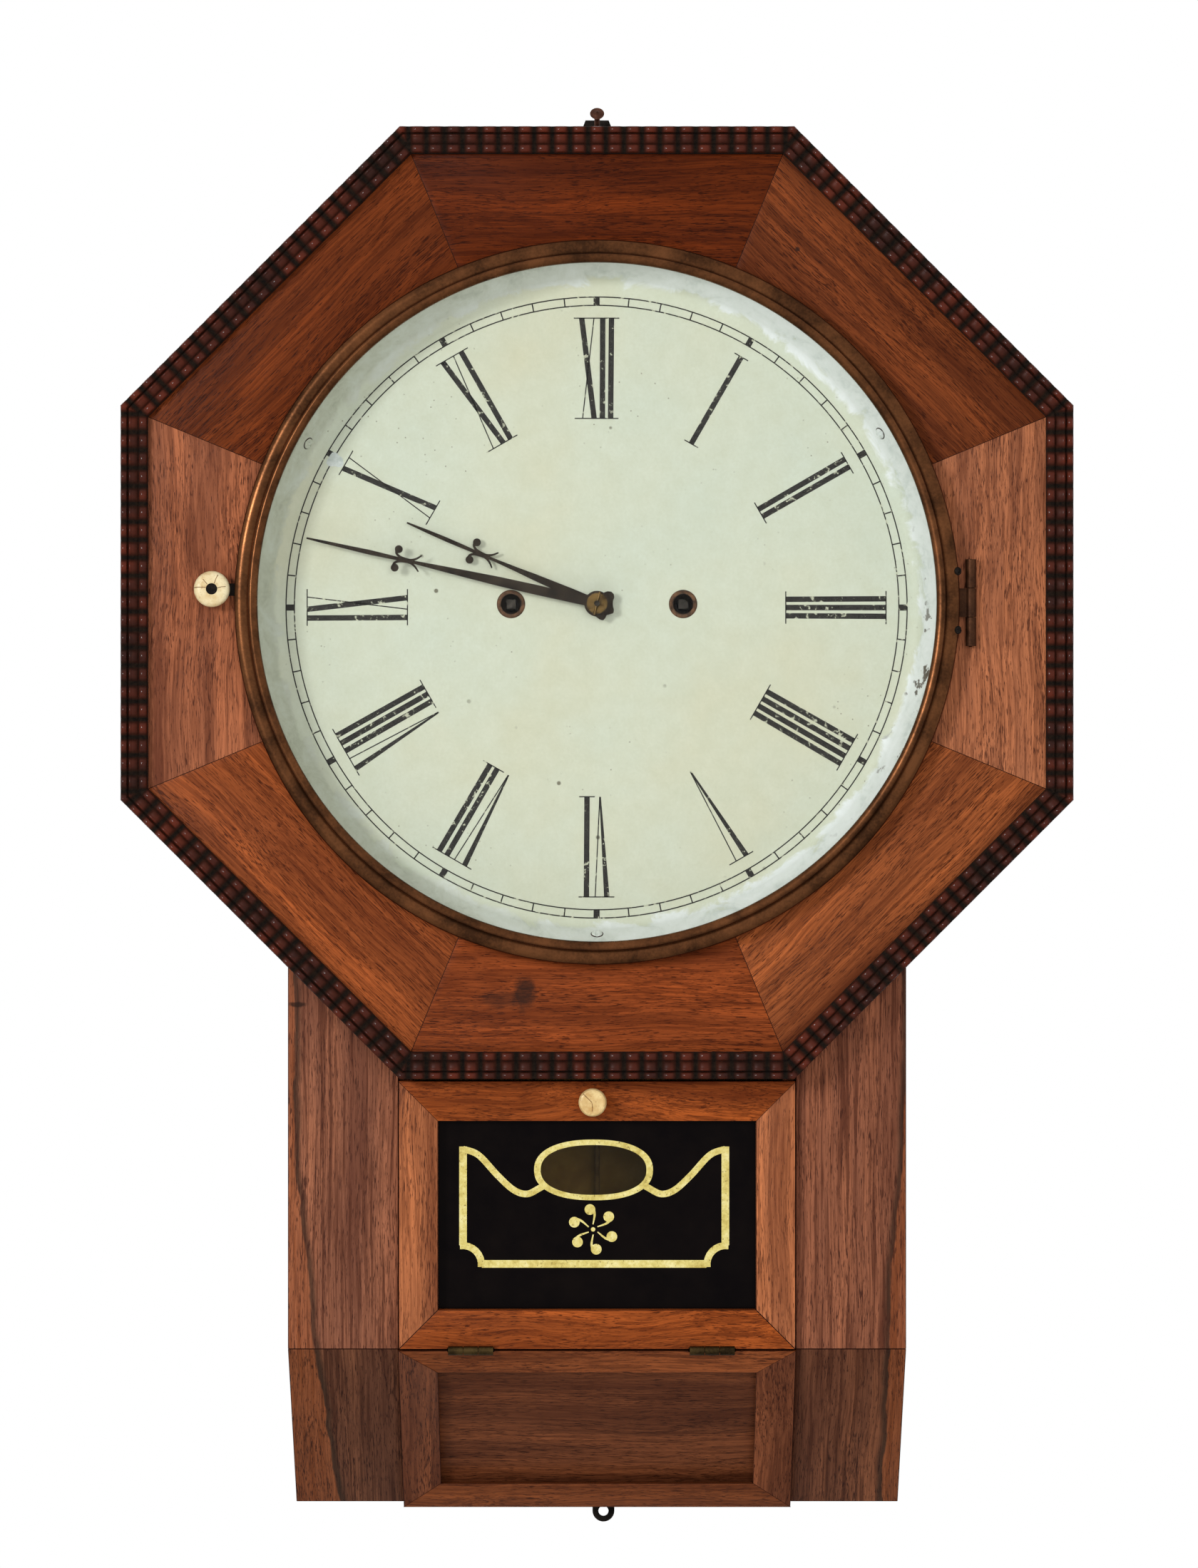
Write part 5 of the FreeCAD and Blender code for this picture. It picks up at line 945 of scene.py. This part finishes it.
# %% Bezel
BEZEL_STEPS = 240
FOOT_DEPTH, FOOT_RADIUS = 118.3, 164.0
SHOULDER, SHOULDER_ROUND, SHOULDER_STEPS = (127.4, 160.6), (2.2, 3.4), 14
FLAT_FALL, FLAT_WIDTH, FLAT_STEPS = 0.35, 2.85, 6
BEZEL_BEAD = ((131.15, 157.6), (131.9, 157.55), (132.5, 157.3), (132.9, 156.9), (133.1, 156.4), (133.1, 155.9),
              (133.02, 155.4), (132.88, 154.9), (132.66, 154.4), (132.35, 153.9), (131.85, 153.5), (131.2, 153.3))
BEZEL_INSIDE = ((130.1, 153.3), (130.1, 156.5), (125.7, 156.5), (FOOT_DEPTH, 156.4))
bezel_low, bezel_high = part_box("bezel_ring")


def bezel_profile():
    """Depth and radius: a round shoulder, a nearly flat band, then a bead that falls towards the glass."""
    (depth, radius), (rise, spread) = SHOULDER, SHOULDER_ROUND
    angles = [math.pi / 2 * i / SHOULDER_STEPS for i in range(SHOULDER_STEPS + 1)]
    roll = [(depth + rise * math.sin(a), radius + spread * math.cos(a)) for a in angles]
    shares = [i / FLAT_STEPS for i in range(1, FLAT_STEPS + 1)]
    band = [(depth + rise - FLAT_FALL * t * t, radius - FLAT_WIDTH * t) for t in shares]
    return [(FOOT_DEPTH, FOOT_RADIUS), *roll, *band, *BEZEL_BEAD, *BEZEL_INSIDE]


bezel = piece("bezel_spun_ring", *turned_mesh(bezel_profile(), BEZEL_STEPS), bezel_brass, "bezel", "bezel_brass",
              True)
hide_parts("bezel_ring")
dress(dial_glass, "bezel_glass")
dress(brown_brass, "bezel_hinge_leaf", "bezel_hinge_case_leaf")
dress(dark_brass, "door_hinge_leaves", "door_hinge_case_leaves")
print("bezel", [round(v, 4) for v in bezel_low], [round(v, 4) for v in bezel_high])

# %% [markdown]
# ## Dial rim
# The dial sheet was pressed over a former, so its flat runs into the sloping rim in a small round. The CAD
# dial has a plain corner there, and a thin turned ring fills it, in the same paint.

# %% Round between flat and rim
DIAL_FACE = 101.5
RIM_FOOT = (DIAL_FACE, 147.0)
RIM_EDGE = (118.0, 156.0)
ROUND_REACH = 3.4
ROUND_LIFT = 0.02


def rim_round(steps=10):
    """Profile of the round, from its edge on the flat to its edge on the slope."""
    rise, run = RIM_EDGE[0] - RIM_FOOT[0], RIM_EDGE[1] - RIM_FOOT[1]
    bend = math.atan2(rise, run)
    radius = ROUND_REACH / math.tan(bend / 2)
    start = RIM_FOOT[1] - ROUND_REACH
    angles = [bend * i / steps for i in range(steps + 1)]
    front = [(DIAL_FACE + ROUND_LIFT + radius * (1 - math.cos(a)), start + radius * math.sin(a)) for a in angles]
    return front + [(DIAL_FACE - 0.2, RIM_FOOT[1] + 0.1)]


piece("dial_rim_round", *turned_mesh(rim_round(), 240), dial_cream, "case", "dial_paint", True)
print("round between the dial's flat and rim")

# %% [markdown]
# ## Dial print
# The dial has a minute track between two fine circles, a block at each five minutes, and Roman numbers
# with their feet to the centre. Thick strokes are pen-width bars and thin strokes are hairlines, with a
# long hairline across both ends of each number. Text would bring the letters of a font, so the strokes are
# drawn. The track repeats, so Geometry Nodes make its ticks.

# %% Minute track
PRINT_BACK = DIAL_FACE - 0.02
PRINT_FRONT = DIAL_FACE + 0.06
PRINT_X, PRINT_Z = -0.2, -1.6
TRACK_INNER, TRACK_OUTER = 138.05, 141.85
TRACK_LINE = 0.55


def tick_tree(name, count, width, front):
    tree = Tree(name, Count=count, Width=width * MM, Inner=TRACK_INNER * MM, Outer=TRACK_OUTER * MM,
                Back=PRINT_BACK * MM, Front=front * MM, Ink=ink)
    tall = tree.less(tree.size("Outer"), tree.size("Inner"))
    thick = tree.less(tree.size("Front"), tree.size("Back"))
    bar = tree.add("GeometryNodeMeshCube", {"Size": tree.vector(tree.size("Width"), thick, tall)})
    middle = tree.times(tree.plus(tree.size("Outer"), tree.size("Inner")), 0.5)
    depth = tree.times(tree.plus(tree.size("Back"), tree.size("Front")), -0.5)
    moved = tree.add("GeometryNodeTransform", {"Geometry": bar.outputs[0],
                                               "Translation": tree.vector(0.0, depth, middle)})
    turn = tree.math("DIVIDE", 2 * math.pi, tree.size("Count"))
    ring = tree.round_the_axis(moved.outputs[0], tree.size("Count"), turn)
    placed = tree.add("GeometryNodeTransform", {"Geometry": ring, "Translation": (PRINT_X * MM, 0, PRINT_Z * MM)})
    tree.close(placed.outputs[0], tree.size("Ink"))
    return tree


for tick_name, tick_count, tick_width, tick_front in (("minute_ticks", 60, 0.6, PRINT_FRONT - 0.02),
                                                      ("five_minute_blocks", 12, 2.8, PRINT_FRONT + 0.02)):
    tick_mesh = tick_tree(tick_name, tick_count, tick_width, tick_front).mesh(tick_name)
    settle(tick_name, tick_mesh, ink, "case")
for ring_name, ring_radius in (("track_inner_line", TRACK_INNER), ("track_outer_line", TRACK_OUTER)):
    low, high = ring_radius - TRACK_LINE / 2, ring_radius + TRACK_LINE / 2
    line = [(PRINT_BACK, low), (PRINT_FRONT, low), (PRINT_FRONT, high), (PRINT_BACK, high)]
    piece(ring_name, *turned_mesh(line, 240, PRINT_X, PRINT_Z), ink, "case", "dial_paint")
print("track of 60 minutes")

# %% Roman numbers
NUMBER_INNER, NUMBER_OUTER = 86.4, 132.2
STROKE = 2.5
HAIRLINE = 0.5
STROKE_STEP = 4.0
LETTER_WIDTH = {"I": 0.0, "V": 5.3, "X": 5.6}
SERIF_PAST = 3.6
CONVERGE = 0.06
NUMBERS = ("XII", "I", "II", "III", "IIII", "V", "VI", "VII", "VIII", "IX", "X", "XI")


def stroke(outer, inner, outer_width, inner_width, reach=NUMBER_INNER):
    """A bar from the outer end to the inner end, as (across, radius) corners."""
    return [(outer - outer_width / 2, NUMBER_OUTER), (outer + outer_width / 2, NUMBER_OUTER),
            (inner + inner_width / 2, reach), (inner - inner_width / 2, reach)]


def letter_strokes(letter, left):
    right = left + LETTER_WIDTH[letter]
    pull = 1 - CONVERGE
    if letter == "I":
        return [stroke(left, left * pull, STROKE, STROKE)]
    if letter == "V":
        apex = (left + right * 1.25) / 2.25 * pull
        return [stroke(left, apex, STROKE, 0.7), stroke(right, apex + 0.15, HAIRLINE, HAIRLINE)]
    return [stroke(left, right * pull, STROKE, STROKE), stroke(right, left * pull, HAIRLINE, HAIRLINE)]


def number_strokes(word):
    lefts, at = [], 0.0
    for letter in word:
        lefts.append(at)
        at += LETTER_WIDTH[letter] + STROKE_STEP
    middle = (at - STROKE_STEP) / 2
    bars = []
    for letter, left in zip(word, lefts):
        bars += letter_strokes(letter, left - middle)
    for radius, pull, feet in ((NUMBER_OUTER, 1.0, word), (NUMBER_INNER, 1 - CONVERGE, word.strip("V"))):
        spots = [left - middle for letter, left in zip(word, lefts) if letter in feet]
        if not spots:
            continue
        ends = [spots[0] * pull, spots[-1] * pull + LETTER_WIDTH[[c for c in word if c in feet][-1]]]
        low, high = ends[0] - SERIF_PAST, ends[1] + SERIF_PAST
        bars.append([(low, radius + HAIRLINE / 2), (high, radius + HAIRLINE / 2),
                     (high, radius - HAIRLINE / 2), (low, radius - HAIRLINE / 2)])
    return bars


def on_the_dial(bars, hour):
    angle = hour * math.pi / 6
    c, s = math.cos(angle), math.sin(angle)
    return [[(PRINT_X + t * c + r * s, PRINT_Z + r * c - t * s) for t, r in bar] for bar in bars]


number_bars = []
for hour, word in enumerate(NUMBERS):
    number_bars += on_the_dial(number_strokes(word), hour)
piece("roman_numbers", *flat_mesh(number_bars, PRINT_BACK, PRINT_FRONT), ink, "case", "dial_paint")
DAUB = (-119.6, 65.9)
DAUB_REACH = (3.4, 3.0, 2.6, 3.1, 3.6, 4.2, 4.6, 3.7, 2.9, 3.3, 4.1, 4.4, 3.8, 3.0, 3.2, 3.6)
daub = round_outline(DAUB_REACH, *DAUB)
piece("dial_paint_daub", *flat_mesh([daub], PRINT_BACK, PRINT_FRONT + 0.05), touch_up, "case", "dial_paint")
dress(dial_cream, "dial")
dress(grommet_brass, "winding_grommets")
print(len(number_bars), "strokes on the dial")

# %% [markdown]
# ## Painted glass of the door
# The door's glass is painted black behind, with gold bands, an oval window and a whorl of six commas.
# The paint is a thin sheet with an oval hole, just behind the glass, and the gold lies between them. The
# whorl repeats, so a tree copies one comma round its centre. A picture on the glass would blur from near,
# and outlines stay sharp.

# %% Tablet
tablet_low, tablet_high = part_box("door_tablet")
TABLET_Z = (tablet_low.z + tablet_high.z) / 2 / MM - 0.6
GILT_SHIFT = -1.3
PAINT_BACK, PAINT_FRONT, LEAF = 95.75, 98.0, 0.02
OVAL = (-1.6, 20.9)
OVAL_CLEAR = (24.2, 11.4)
OVAL_GOLD = (27.2, 13.9)
OVAL_SQUARE = 2.3
OVAL_STEPS = 64
BAND = 3.5


def oval(half):
    """A slightly squared ellipse round the window's centre."""
    points = []
    for angle in turns(OVAL_STEPS):
        c, s = math.cos(angle), math.sin(angle)
        across = math.copysign(abs(c) ** (2 / OVAL_SQUARE), c) * half[0]
        up = math.copysign(abs(s) ** (2 / OVAL_SQUARE), s) * half[1]
        points.append((OVAL[0] + across, TABLET_Z + OVAL[1] + up))
    return points


def ring_mesh(outer, inner, back, front):
    """A flat sheet between two outlines with the same number of points."""
    count = len(outer)
    verts = []
    for depth in (back, front):
        for outline in (outer, inner):
            verts += [(x * MM, -depth * MM, z * MM) for x, z in outline]
    faces = []
    for i in range(count):
        j = (i + 1) % count
        faces.append((i, j, count + j, count + i))
        faces.append((2 * count + i, 3 * count + i, 3 * count + j, 2 * count + j))
        faces.append((i, 2 * count + i, 2 * count + j, j))
        faces.append((count + i, count + j, 3 * count + j, 3 * count + i))
    return verts, faces


def tablet_edge():
    """Points on the tablet's rectangle, one for each point of the oval, by direction from its centre."""
    left, right = tablet_low.x / MM + 0.05, tablet_high.x / MM - 0.05
    low, high = tablet_low.z / MM + 0.05, tablet_high.z / MM - 0.05
    cx, cz = OVAL[0], TABLET_Z + OVAL[1]
    points = []
    for x, z in oval(OVAL_CLEAR):
        dx, dz = x - cx, z - cz
        reach = min(((right if dx > 0 else left) - cx) / dx if abs(dx) > 1e-6 else 1e9,
                    ((high if dz > 0 else low) - cz) / dz if abs(dz) > 1e-6 else 1e9)
        points.append((cx + dx * reach, cz + dz * reach))
    for corner in ((left, low), (right, low), (right, high), (left, high)):
        near = min(range(OVAL_STEPS), key=lambda i: math.dist(points[i], corner))
        points[near] = corner
    return points


painted = piece("tablet_painted_sheet", *ring_mesh(tablet_edge(), oval(OVAL_CLEAR), PAINT_BACK, PAINT_FRONT),
                tablet_black, "door", "tablet_glass")
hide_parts("door_tablet")
piece("tablet_window", *flat_mesh([oval(OVAL_CLEAR)], PAINT_BACK + 0.3, PAINT_FRONT - 0.2), window_glass, "door",
      "tablet_glass")
piece("tablet_oval_gold", *ring_mesh(oval(OVAL_GOLD), oval(OVAL_CLEAR), PAINT_FRONT, PAINT_FRONT + 9 * LEAF), gilding,
      "door", "tablet_glass")


def band_outline(points, width, taper=1.0):
    """Outline of a band along points, with mitred bends, that narrows by the taper."""
    left, right = [], []
    for i, point in enumerate(points):
        before = Vector(points[max(i - 1, 0)])
        after = Vector(points[min(i + 1, len(points) - 1)])
        here = Vector(point)
        ways = [(b - a).normalized() for a, b in ((before, here), (here, after)) if (b - a).length > 1e-9]
        way = sum(ways, Vector((0, 0))).normalized()
        normal = Vector((-way.y, way.x))
        spread = width / 2 / max(0.35, normal.dot(Vector((-ways[0].y, ways[0].x))))
        spread *= 1 + (taper - 1) * i / (len(points) - 1)
        left.append(tuple(here + normal * spread))
        right.append(tuple(here - normal * spread))
    return left + right[::-1]


def smooth_line(points, steps):
    """A rounded line through points (Catmull-Rom)."""
    line = []
    padded = [points[0]] + list(points) + [points[-1]]
    for a, b, c, d in zip(padded, padded[1:], padded[2:], padded[3:]):
        for i in range(steps):
            t = i / steps
            line.append(tuple(0.5 * (2 * b[k] + (c[k] - a[k]) * t + (2 * a[k] - 5 * b[k] + 4 * c[k] - d[k]) * t * t
                                     + (3 * b[k] - a[k] - 3 * c[k] + d[k]) * t ** 3) for k in (0, 1)))
    return line + [tuple(points[-1])]


BAND_SIDE = 60.0
BAND_TOP, BAND_LOW, BAND_FOOT = 30.4, -13.6, -22.1
SCOOP = 8.6
SCOOP_PAST = 0.14
SWEEP = ((60.0, 30.4), (52.9, 27.7), (44.3, 18.5), (36.9, 11.8), (30.8, 9.9), (25.3, 12.4), (22.0, 14.4))


def scoop(side):
    centre = (side * (BAND_SIDE + 0.2), BAND_FOOT - 0.2)
    return [(centre[0] - side * SCOOP * math.sin(a), centre[1] + SCOOP * math.cos(a))
            for a in [math.pi / 2 * i / 8 - SCOOP_PAST + SCOOP_PAST * i / 4 for i in range(9)]]


gold_runs = [("foot", [(-BAND_SIDE + SCOOP, BAND_FOOT), (BAND_SIDE - SCOOP, BAND_FOOT)], BAND)]
for side, label in ((-1, "left"), (1, "right")):
    gold_runs.append((f"edge_{label}", [(side * BAND_SIDE, BAND_TOP + 1.2), (side * BAND_SIDE, BAND_LOW)], BAND))
    gold_runs.append((f"scoop_{label}", scoop(side), BAND * 0.9))
    gold_runs.append((f"sweep_{label}", [(side * x, z) for x, z in smooth_line(SWEEP, 6)], BAND * 0.85))
for lift, (label, line, width) in enumerate(gold_runs, 1):
    outline = band_outline([(GILT_SHIFT + x, TABLET_Z + z) for x, z in line], width)
    piece("tablet_gold_" + label, *flat_mesh([outline], PAINT_FRONT, PAINT_FRONT + lift * LEAF), gilding, "door",
          "tablet_glass")
print("gold bands:", len(gold_runs), "runs")

# %% Whorl
WHORL = (-1.8, -6.3)
WHORL_REACH = 9.2
COMMA_HEAD = 2.45
WHORL_DOT = 1.0
WHORL_TURN = math.radians(51)


def comma():
    """A round head with a tail that curls to the middle, about the origin."""
    head = round_outline([COMMA_HEAD] * 24, 0, WHORL_REACH)
    line = smooth_line([(1.7, WHORL_REACH - 0.6), (1.75, WHORL_REACH - 2.6), (1.1, WHORL_REACH - 4.8),
                        (0.3, WHORL_REACH - 6.9)], 4)
    return head, band_outline(line, 1.25, 0.4)


def whorl_tree():
    tree = Tree("whorl", Commas=6, Across=WHORL[0] * MM, Up=(TABLET_Z + WHORL[1]) * MM, Gold=gilding)
    ring = tree.round_the_axis(tree.start.outputs["Geometry"], tree.size("Commas"),
                               tree.math("DIVIDE", 2 * math.pi, tree.size("Commas")))
    moved = tree.add("GeometryNodeTransform", {"Geometry": ring, "Translation":
                                               tree.vector(tree.size("Across"), 0.0, tree.size("Up"))})
    tree.close(moved.outputs[0], tree.size("Gold"))
    return tree


comma_mesh = bpy.data.meshes.new("comma")
comma_head, comma_tail = comma()
comma_verts, comma_faces = joined(flat_mesh([comma_head], PAINT_FRONT, PAINT_FRONT + 2 * LEAF),
                                  flat_mesh([comma_tail], PAINT_FRONT, PAINT_FRONT + LEAF))
comma_turn = Matrix.Rotation(WHORL_TURN, 4, "Y")
comma_mesh.from_pydata([tuple(comma_turn @ Vector(v)) for v in comma_verts], [], comma_faces)
settle("tablet_whorl", whorl_tree().mesh("tablet_whorl", comma_mesh), gilding, "door")
dot = round_outline([WHORL_DOT] * 20, WHORL[0], TABLET_Z + WHORL[1])
piece("tablet_whorl_dot", *flat_mesh([dot], PAINT_FRONT, PAINT_FRONT + 3 * LEAF), gilding, "door", "tablet_glass")
print("whorl of six commas")

# %% [markdown]
# ## Screws
# Slotted screws hold the dial's rim, the bezel's hinge and the hanger plate. One head is modelled, and a tree
# sets it on points, each with its own turn. Paint covers those of the dial, and a wider dark head under each
# is a painted shadow round it.

# %% Screw tree
SLOT_WIDTH = 0.22
SCREW_STEPS = 20


def screw_head(radius, height):
    """A low dome with a slot, standing on the origin and facing the front."""
    shape = bmesh.new()
    rings = [(1.0, 0.0), (1.0, 0.25), (0.9, 0.62), (0.66, 0.9), (0.3, 1.0)]
    rows = []
    for reach, rise in rings:
        row = []
        for i in range(SCREW_STEPS):
            angle = 2 * math.pi * i / SCREW_STEPS
            x, z = reach * radius * math.sin(angle), reach * radius * math.cos(angle)
            sunk = 0.45 if abs(x) < SLOT_WIDTH * radius and rise > 0.3 else 0.0
            row.append(shape.verts.new((x, -height * (rise - sunk), z)))
        rows.append(row)
    for low, high in zip(rows, rows[1:]):
        for i in range(SCREW_STEPS):
            j = (i + 1) % SCREW_STEPS
            shape.faces.new((low[i], low[j], high[j], high[i]))
    shape.faces.new(rows[-1])
    shape.faces.new(rows[0][::-1])
    mesh = bpy.data.meshes.new("screw_head")
    shape.to_mesh(mesh)
    shape.free()
    return bpy.data.objects.new("screw_head", mesh)


def screws(name, body, finish, radius, height, places):
    """Heads at (x, depth, z) in millimetres, each turned by three angles in degrees."""
    head = screw_head(radius * MM, height * MM)
    tree = Tree(name, Head=head, Finish=finish)
    source = tree.add("GeometryNodeObjectInfo", {"Object": tree.size("Head")})
    turn = tree.add("GeometryNodeInputNamedAttribute", {"Name": "turn"}, data_type="FLOAT_VECTOR")
    spread = tree.add("GeometryNodeInstanceOnPoints", {"Points": tree.start.outputs["Geometry"],
                                                       "Instance": source.outputs["Geometry"],
                                                       "Rotation": turn.outputs["Attribute"]})
    tree.close(spread.outputs[0], tree.size("Finish"))
    points = bpy.data.meshes.new(name + "_points")
    points.from_pydata([(x * MM, -depth * MM, z * MM) for x, depth, z, *_ in places], [], [])
    turns = points.attributes.new("turn", "FLOAT_VECTOR", "POINT")
    for mark, (*_, a, b, c) in zip(turns.data, places):
        mark.vector = [math.radians(v) for v in (a, b, c)]
    made = settle(name, tree.mesh(name, points), finish, body)
    bpy.data.objects.remove(head)
    return made


RIM_LEAN = math.degrees(math.atan2(RIM_EDGE[0] - RIM_FOOT[0], RIM_EDGE[1] - RIM_FOOT[1]))


def on_the_rim(clock_angle, radius):
    """Place on the dial's slope, and the lean that makes a head face it."""
    angle = math.radians(clock_angle)
    depth = DIAL_FACE + (radius - RIM_FOOT[1]) * math.tan(math.radians(RIM_LEAN))
    lean = (Matrix.Rotation(angle, 3, "Y") @ Matrix.Rotation(math.radians(RIM_LEAN), 3, "X")).to_euler()
    return (radius * math.sin(angle), depth, radius * math.cos(angle), *(math.degrees(v) for v in lean))


dial_screw_places = [on_the_rim(a, 150.6) for a in (299, 59, 180)]
screws("dial_screws", "case", dial_cream, 2.5, 1.3, dial_screw_places)
# A wider, lower dark head under each dial screw: a painted shadow round the head.
screws("dial_screw_dirt", "case", joint_dirt, 2.9, 0.5, dial_screw_places)
screws("bezel_hinge_screws", "bezel", iron, 1.9, 1.4,
       [(162.9, 128.3, 14.0, 0, 20, 40), (163.0, 128.2, -12.6, 0, 75, 40)])
screws("hanger_screws", "case", iron, 2.6, 0.14, [(0, 0.15, 172, 180, 15, 0), (0, 0.15, 190, 180, 70, 0)])
print("seven screws")

# %% [markdown]
# ## Bone knobs
# Both knobs were turned from bone: a narrow neck, a full edge and a flat face. The bezel's knob shows the dark
# end of its spindle. Age has split them, so thin dark lines lie along the cracks that the photograph shows.

# %% Knobs
KNOB_STEPS = 64
BEZEL_KNOB = (-174.2, 6.0)
DOOR_KNOB = (-2.0, -226.95)
BEZEL_KNOB_PROFILE = ((119.6, 2.56), (119.6, 5.4), (121.4, 4.7), (123.2, 5.5), (124.4, 7.2), (125.4, 7.95),
                      (126.5, 8.18), (127.5, 8.0), (128.3, 7.4), (128.85, 6.5), (129.05, 5.2), (128.95, 2.56))
DOOR_KNOB_PROFILE = ((112.98, 0), (112.98, 1.85), (105.35, 1.85), (105.35, 4.3), (107.2, 3.5), (109.6, 4.0),
                     (111.6, 5.3), (113.0, 6.15), (114.2, 6.42), (115.2, 6.25), (115.9, 5.7), (116.15, 5.0),
                     (116.0, 4.4), (116.1, 2.4), (116.15, 0))
BEZEL_KNOB_CRACKS = (((-8.0, 0.6), (-5.6, 0.75), (-2.6, 0.7)), ((2.6, 0.4), (4.4, 0.9), (6.4, 1.0)),
                     ((1.2, 2.4), (2.0, 4.6), (2.9, 6.4)), ((-3.9, 4.4), (-2.0, 2.2)))
DOOR_KNOB_CRACKS = (((-4.3, 4.0), (-2.2, 1.9), (-0.4, 0.2), (-0.1, -1.6), (-0.2, -4.0)),)


def crack_lines(cracks, centre, width):
    return [band_outline([(centre[0] + x, centre[1] + z) for x, z in crack], width) for crack in cracks]


for label, body, centre, profile, cracks, face in (
        ("bezel_knob", "bezel_button", BEZEL_KNOB, BEZEL_KNOB_PROFILE, BEZEL_KNOB_CRACKS, 129.09),
        ("door_knob", "door_button", DOOR_KNOB, DOOR_KNOB_PROFILE, DOOR_KNOB_CRACKS, 116.19)):
    knob = piece(label + "_turned", *turned_mesh(profile, KNOB_STEPS, *centre), bones[label], body, "bone", True)
    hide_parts(label)
    piece(label + "_cracks", *flat_mesh(crack_lines(cracks, centre, 0.24), face - 0.3, face), crack_stain, body,
          "bone")
print("two bone knobs")

# %% [markdown]
# ## Hands
# The hands were stamped from sheet steel and filed: a slim lance, two horns that point back, and two curls
# that end in balls. Each stroke is drawn along the hand and laid a hair above the one before, so that no two
# faces share a plane. The CAD hands are a little fuller, and these stay within them in depth.

# %% Hands
MINUTE_LANCE = ((5.0, 4.2), (28.7, 4.5), (45.3, 4.2), (62.0, 3.2), (78.6, 2.0), (86.0, 1.4), (90.0, 1.4), (95.3, 1.7),
                (106.0, 2.2), (116.0, 1.75), (128.5, 1.3), (135.6, 0.8))
HOUR_LANCE = ((5.0, 4.1), (12.9, 4.0), (21.7, 3.5), (30.6, 3.0), (39.4, 2.1), (50.0, 1.4), (58.0, 1.3), (66.0, 1.8),
              (74.9, 1.95), (83.7, 1.6), (94.3, 0.75))
HORN = ((1.5, 0.3), (-1.0, 0.6), (-3.4, 1.8), (-5.5, 3.8))
CURL = ((-1.5, 0.4), (2.0, 0.6), (4.6, 1.2), (6.2, 2.6), (5.9, 4.0))
BALL_AT, BALL_RADIUS = (5.4, 4.3), 1.8
BOSS_RADIUS, BOSS_STEPS = 5.8, 40
LAYER = 0.02


def hand_strokes(lance, cross):
    """Outlines as (along, across): the lance, then horns, curls and balls on both sides of the crossing."""
    strokes = [[(a, w / 2) for a, w in lance] + [(a, -w / 2) for a, w in lance[::-1]]]
    for side in (1, -1):
        for line, width, taper in ((HORN, 1.5, 0.4), (CURL, 1.3, 0.75)):
            run = smooth_line([(cross + a, side * w) for a, w in line], 4)
            strokes.append(band_outline(run, width, taper))
        strokes.append(round_outline([BALL_RADIUS] * 20, cross + BALL_AT[0], side * BALL_AT[1]))
    return strokes


def make_hand(name, body, lance, cross, angle, bore, back, front):
    turn = math.radians(angle)
    s, c = math.sin(turn), math.cos(turn)
    strokes = hand_strokes(lance, cross)
    layers = []
    for under, outline in zip(range(len(strokes), 0, -1), strokes):
        spun = [(a * s + w * c, a * c - w * s) for a, w in outline]
        layers.append(flat_mesh([spun], back, front - LAYER * under))
    boss = [round_outline([radius] * BOSS_STEPS) for radius in (BOSS_RADIUS, bore)]
    layers.append(ring_mesh(*boss, back, front))
    made = piece(name + "_filed", *joined(*layers), hand_steel, body, "black_steel")
    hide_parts(name)


make_hand("minute_hand", "minute", MINUTE_LANCE, cross=88.1, angle=282.7, bore=1.36, back=108.52, front=109.48)
make_hand("hour_hand", "hour", HOUR_LANCE, cross=56.0, angle=293.1, bore=3.46, back=104.52, front=105.48)
print("two hands")

# %% [markdown]
# ## Movement and small pieces
# Wheels and ironwork keep their CAD shapes and take the finishes above. Behind the minute hand sits a thin
# spring washer with a broken edge, drawn here as an uneven ring.

# %% Small pieces
WASHER_BACK, WASHER_FRONT = 106.6, 107.2
WASHER_HOLE = 3.6
WASHER_EDGE = (5.7, 5.7, 5.7, 5.7, 7.4, 8.5, 8.8, 8.4, 7.4, 7.2, 7.4, 8.2, 8.6, 7.6, 6.8, 7.6, 8.1, 7.4, 6.3,
               *[5.7] * 17)

washer = [round_outline(WASHER_EDGE), round_outline([WASHER_HOLE] * len(WASHER_EDGE))]
piece("hand_washer", *ring_mesh(*washer, WASHER_BACK, WASHER_FRONT), hand_steel, "minute", "black_steel")
dress(iron, "bezel_catch", "door_latch", "hanger_plate", "lower_ear")
dress(rusty_iron, "hanging_nail")
dress(collet_brass, "hand_collet")
# The front plate takes the dark brass that stands for the shade behind the dial.
dress(plate_brass, "movement_front_plate")
dress(brass, "movement_back_plate", "movement_pillars", "suspension_cock",
      "main_wheel_left", "main_wheel_right", "third_wheel", "escape_wheel", "hour_wheel", "motion_wheel",
      "pendulum_bob")
dress(arbor_steel, "winding_arbor_left", "winding_arbor_right", "centre_arbor")
dress(steel, "mainsprings", "verge")
dress(rod_wire, "pendulum_rod")
print("small pieces dressed")
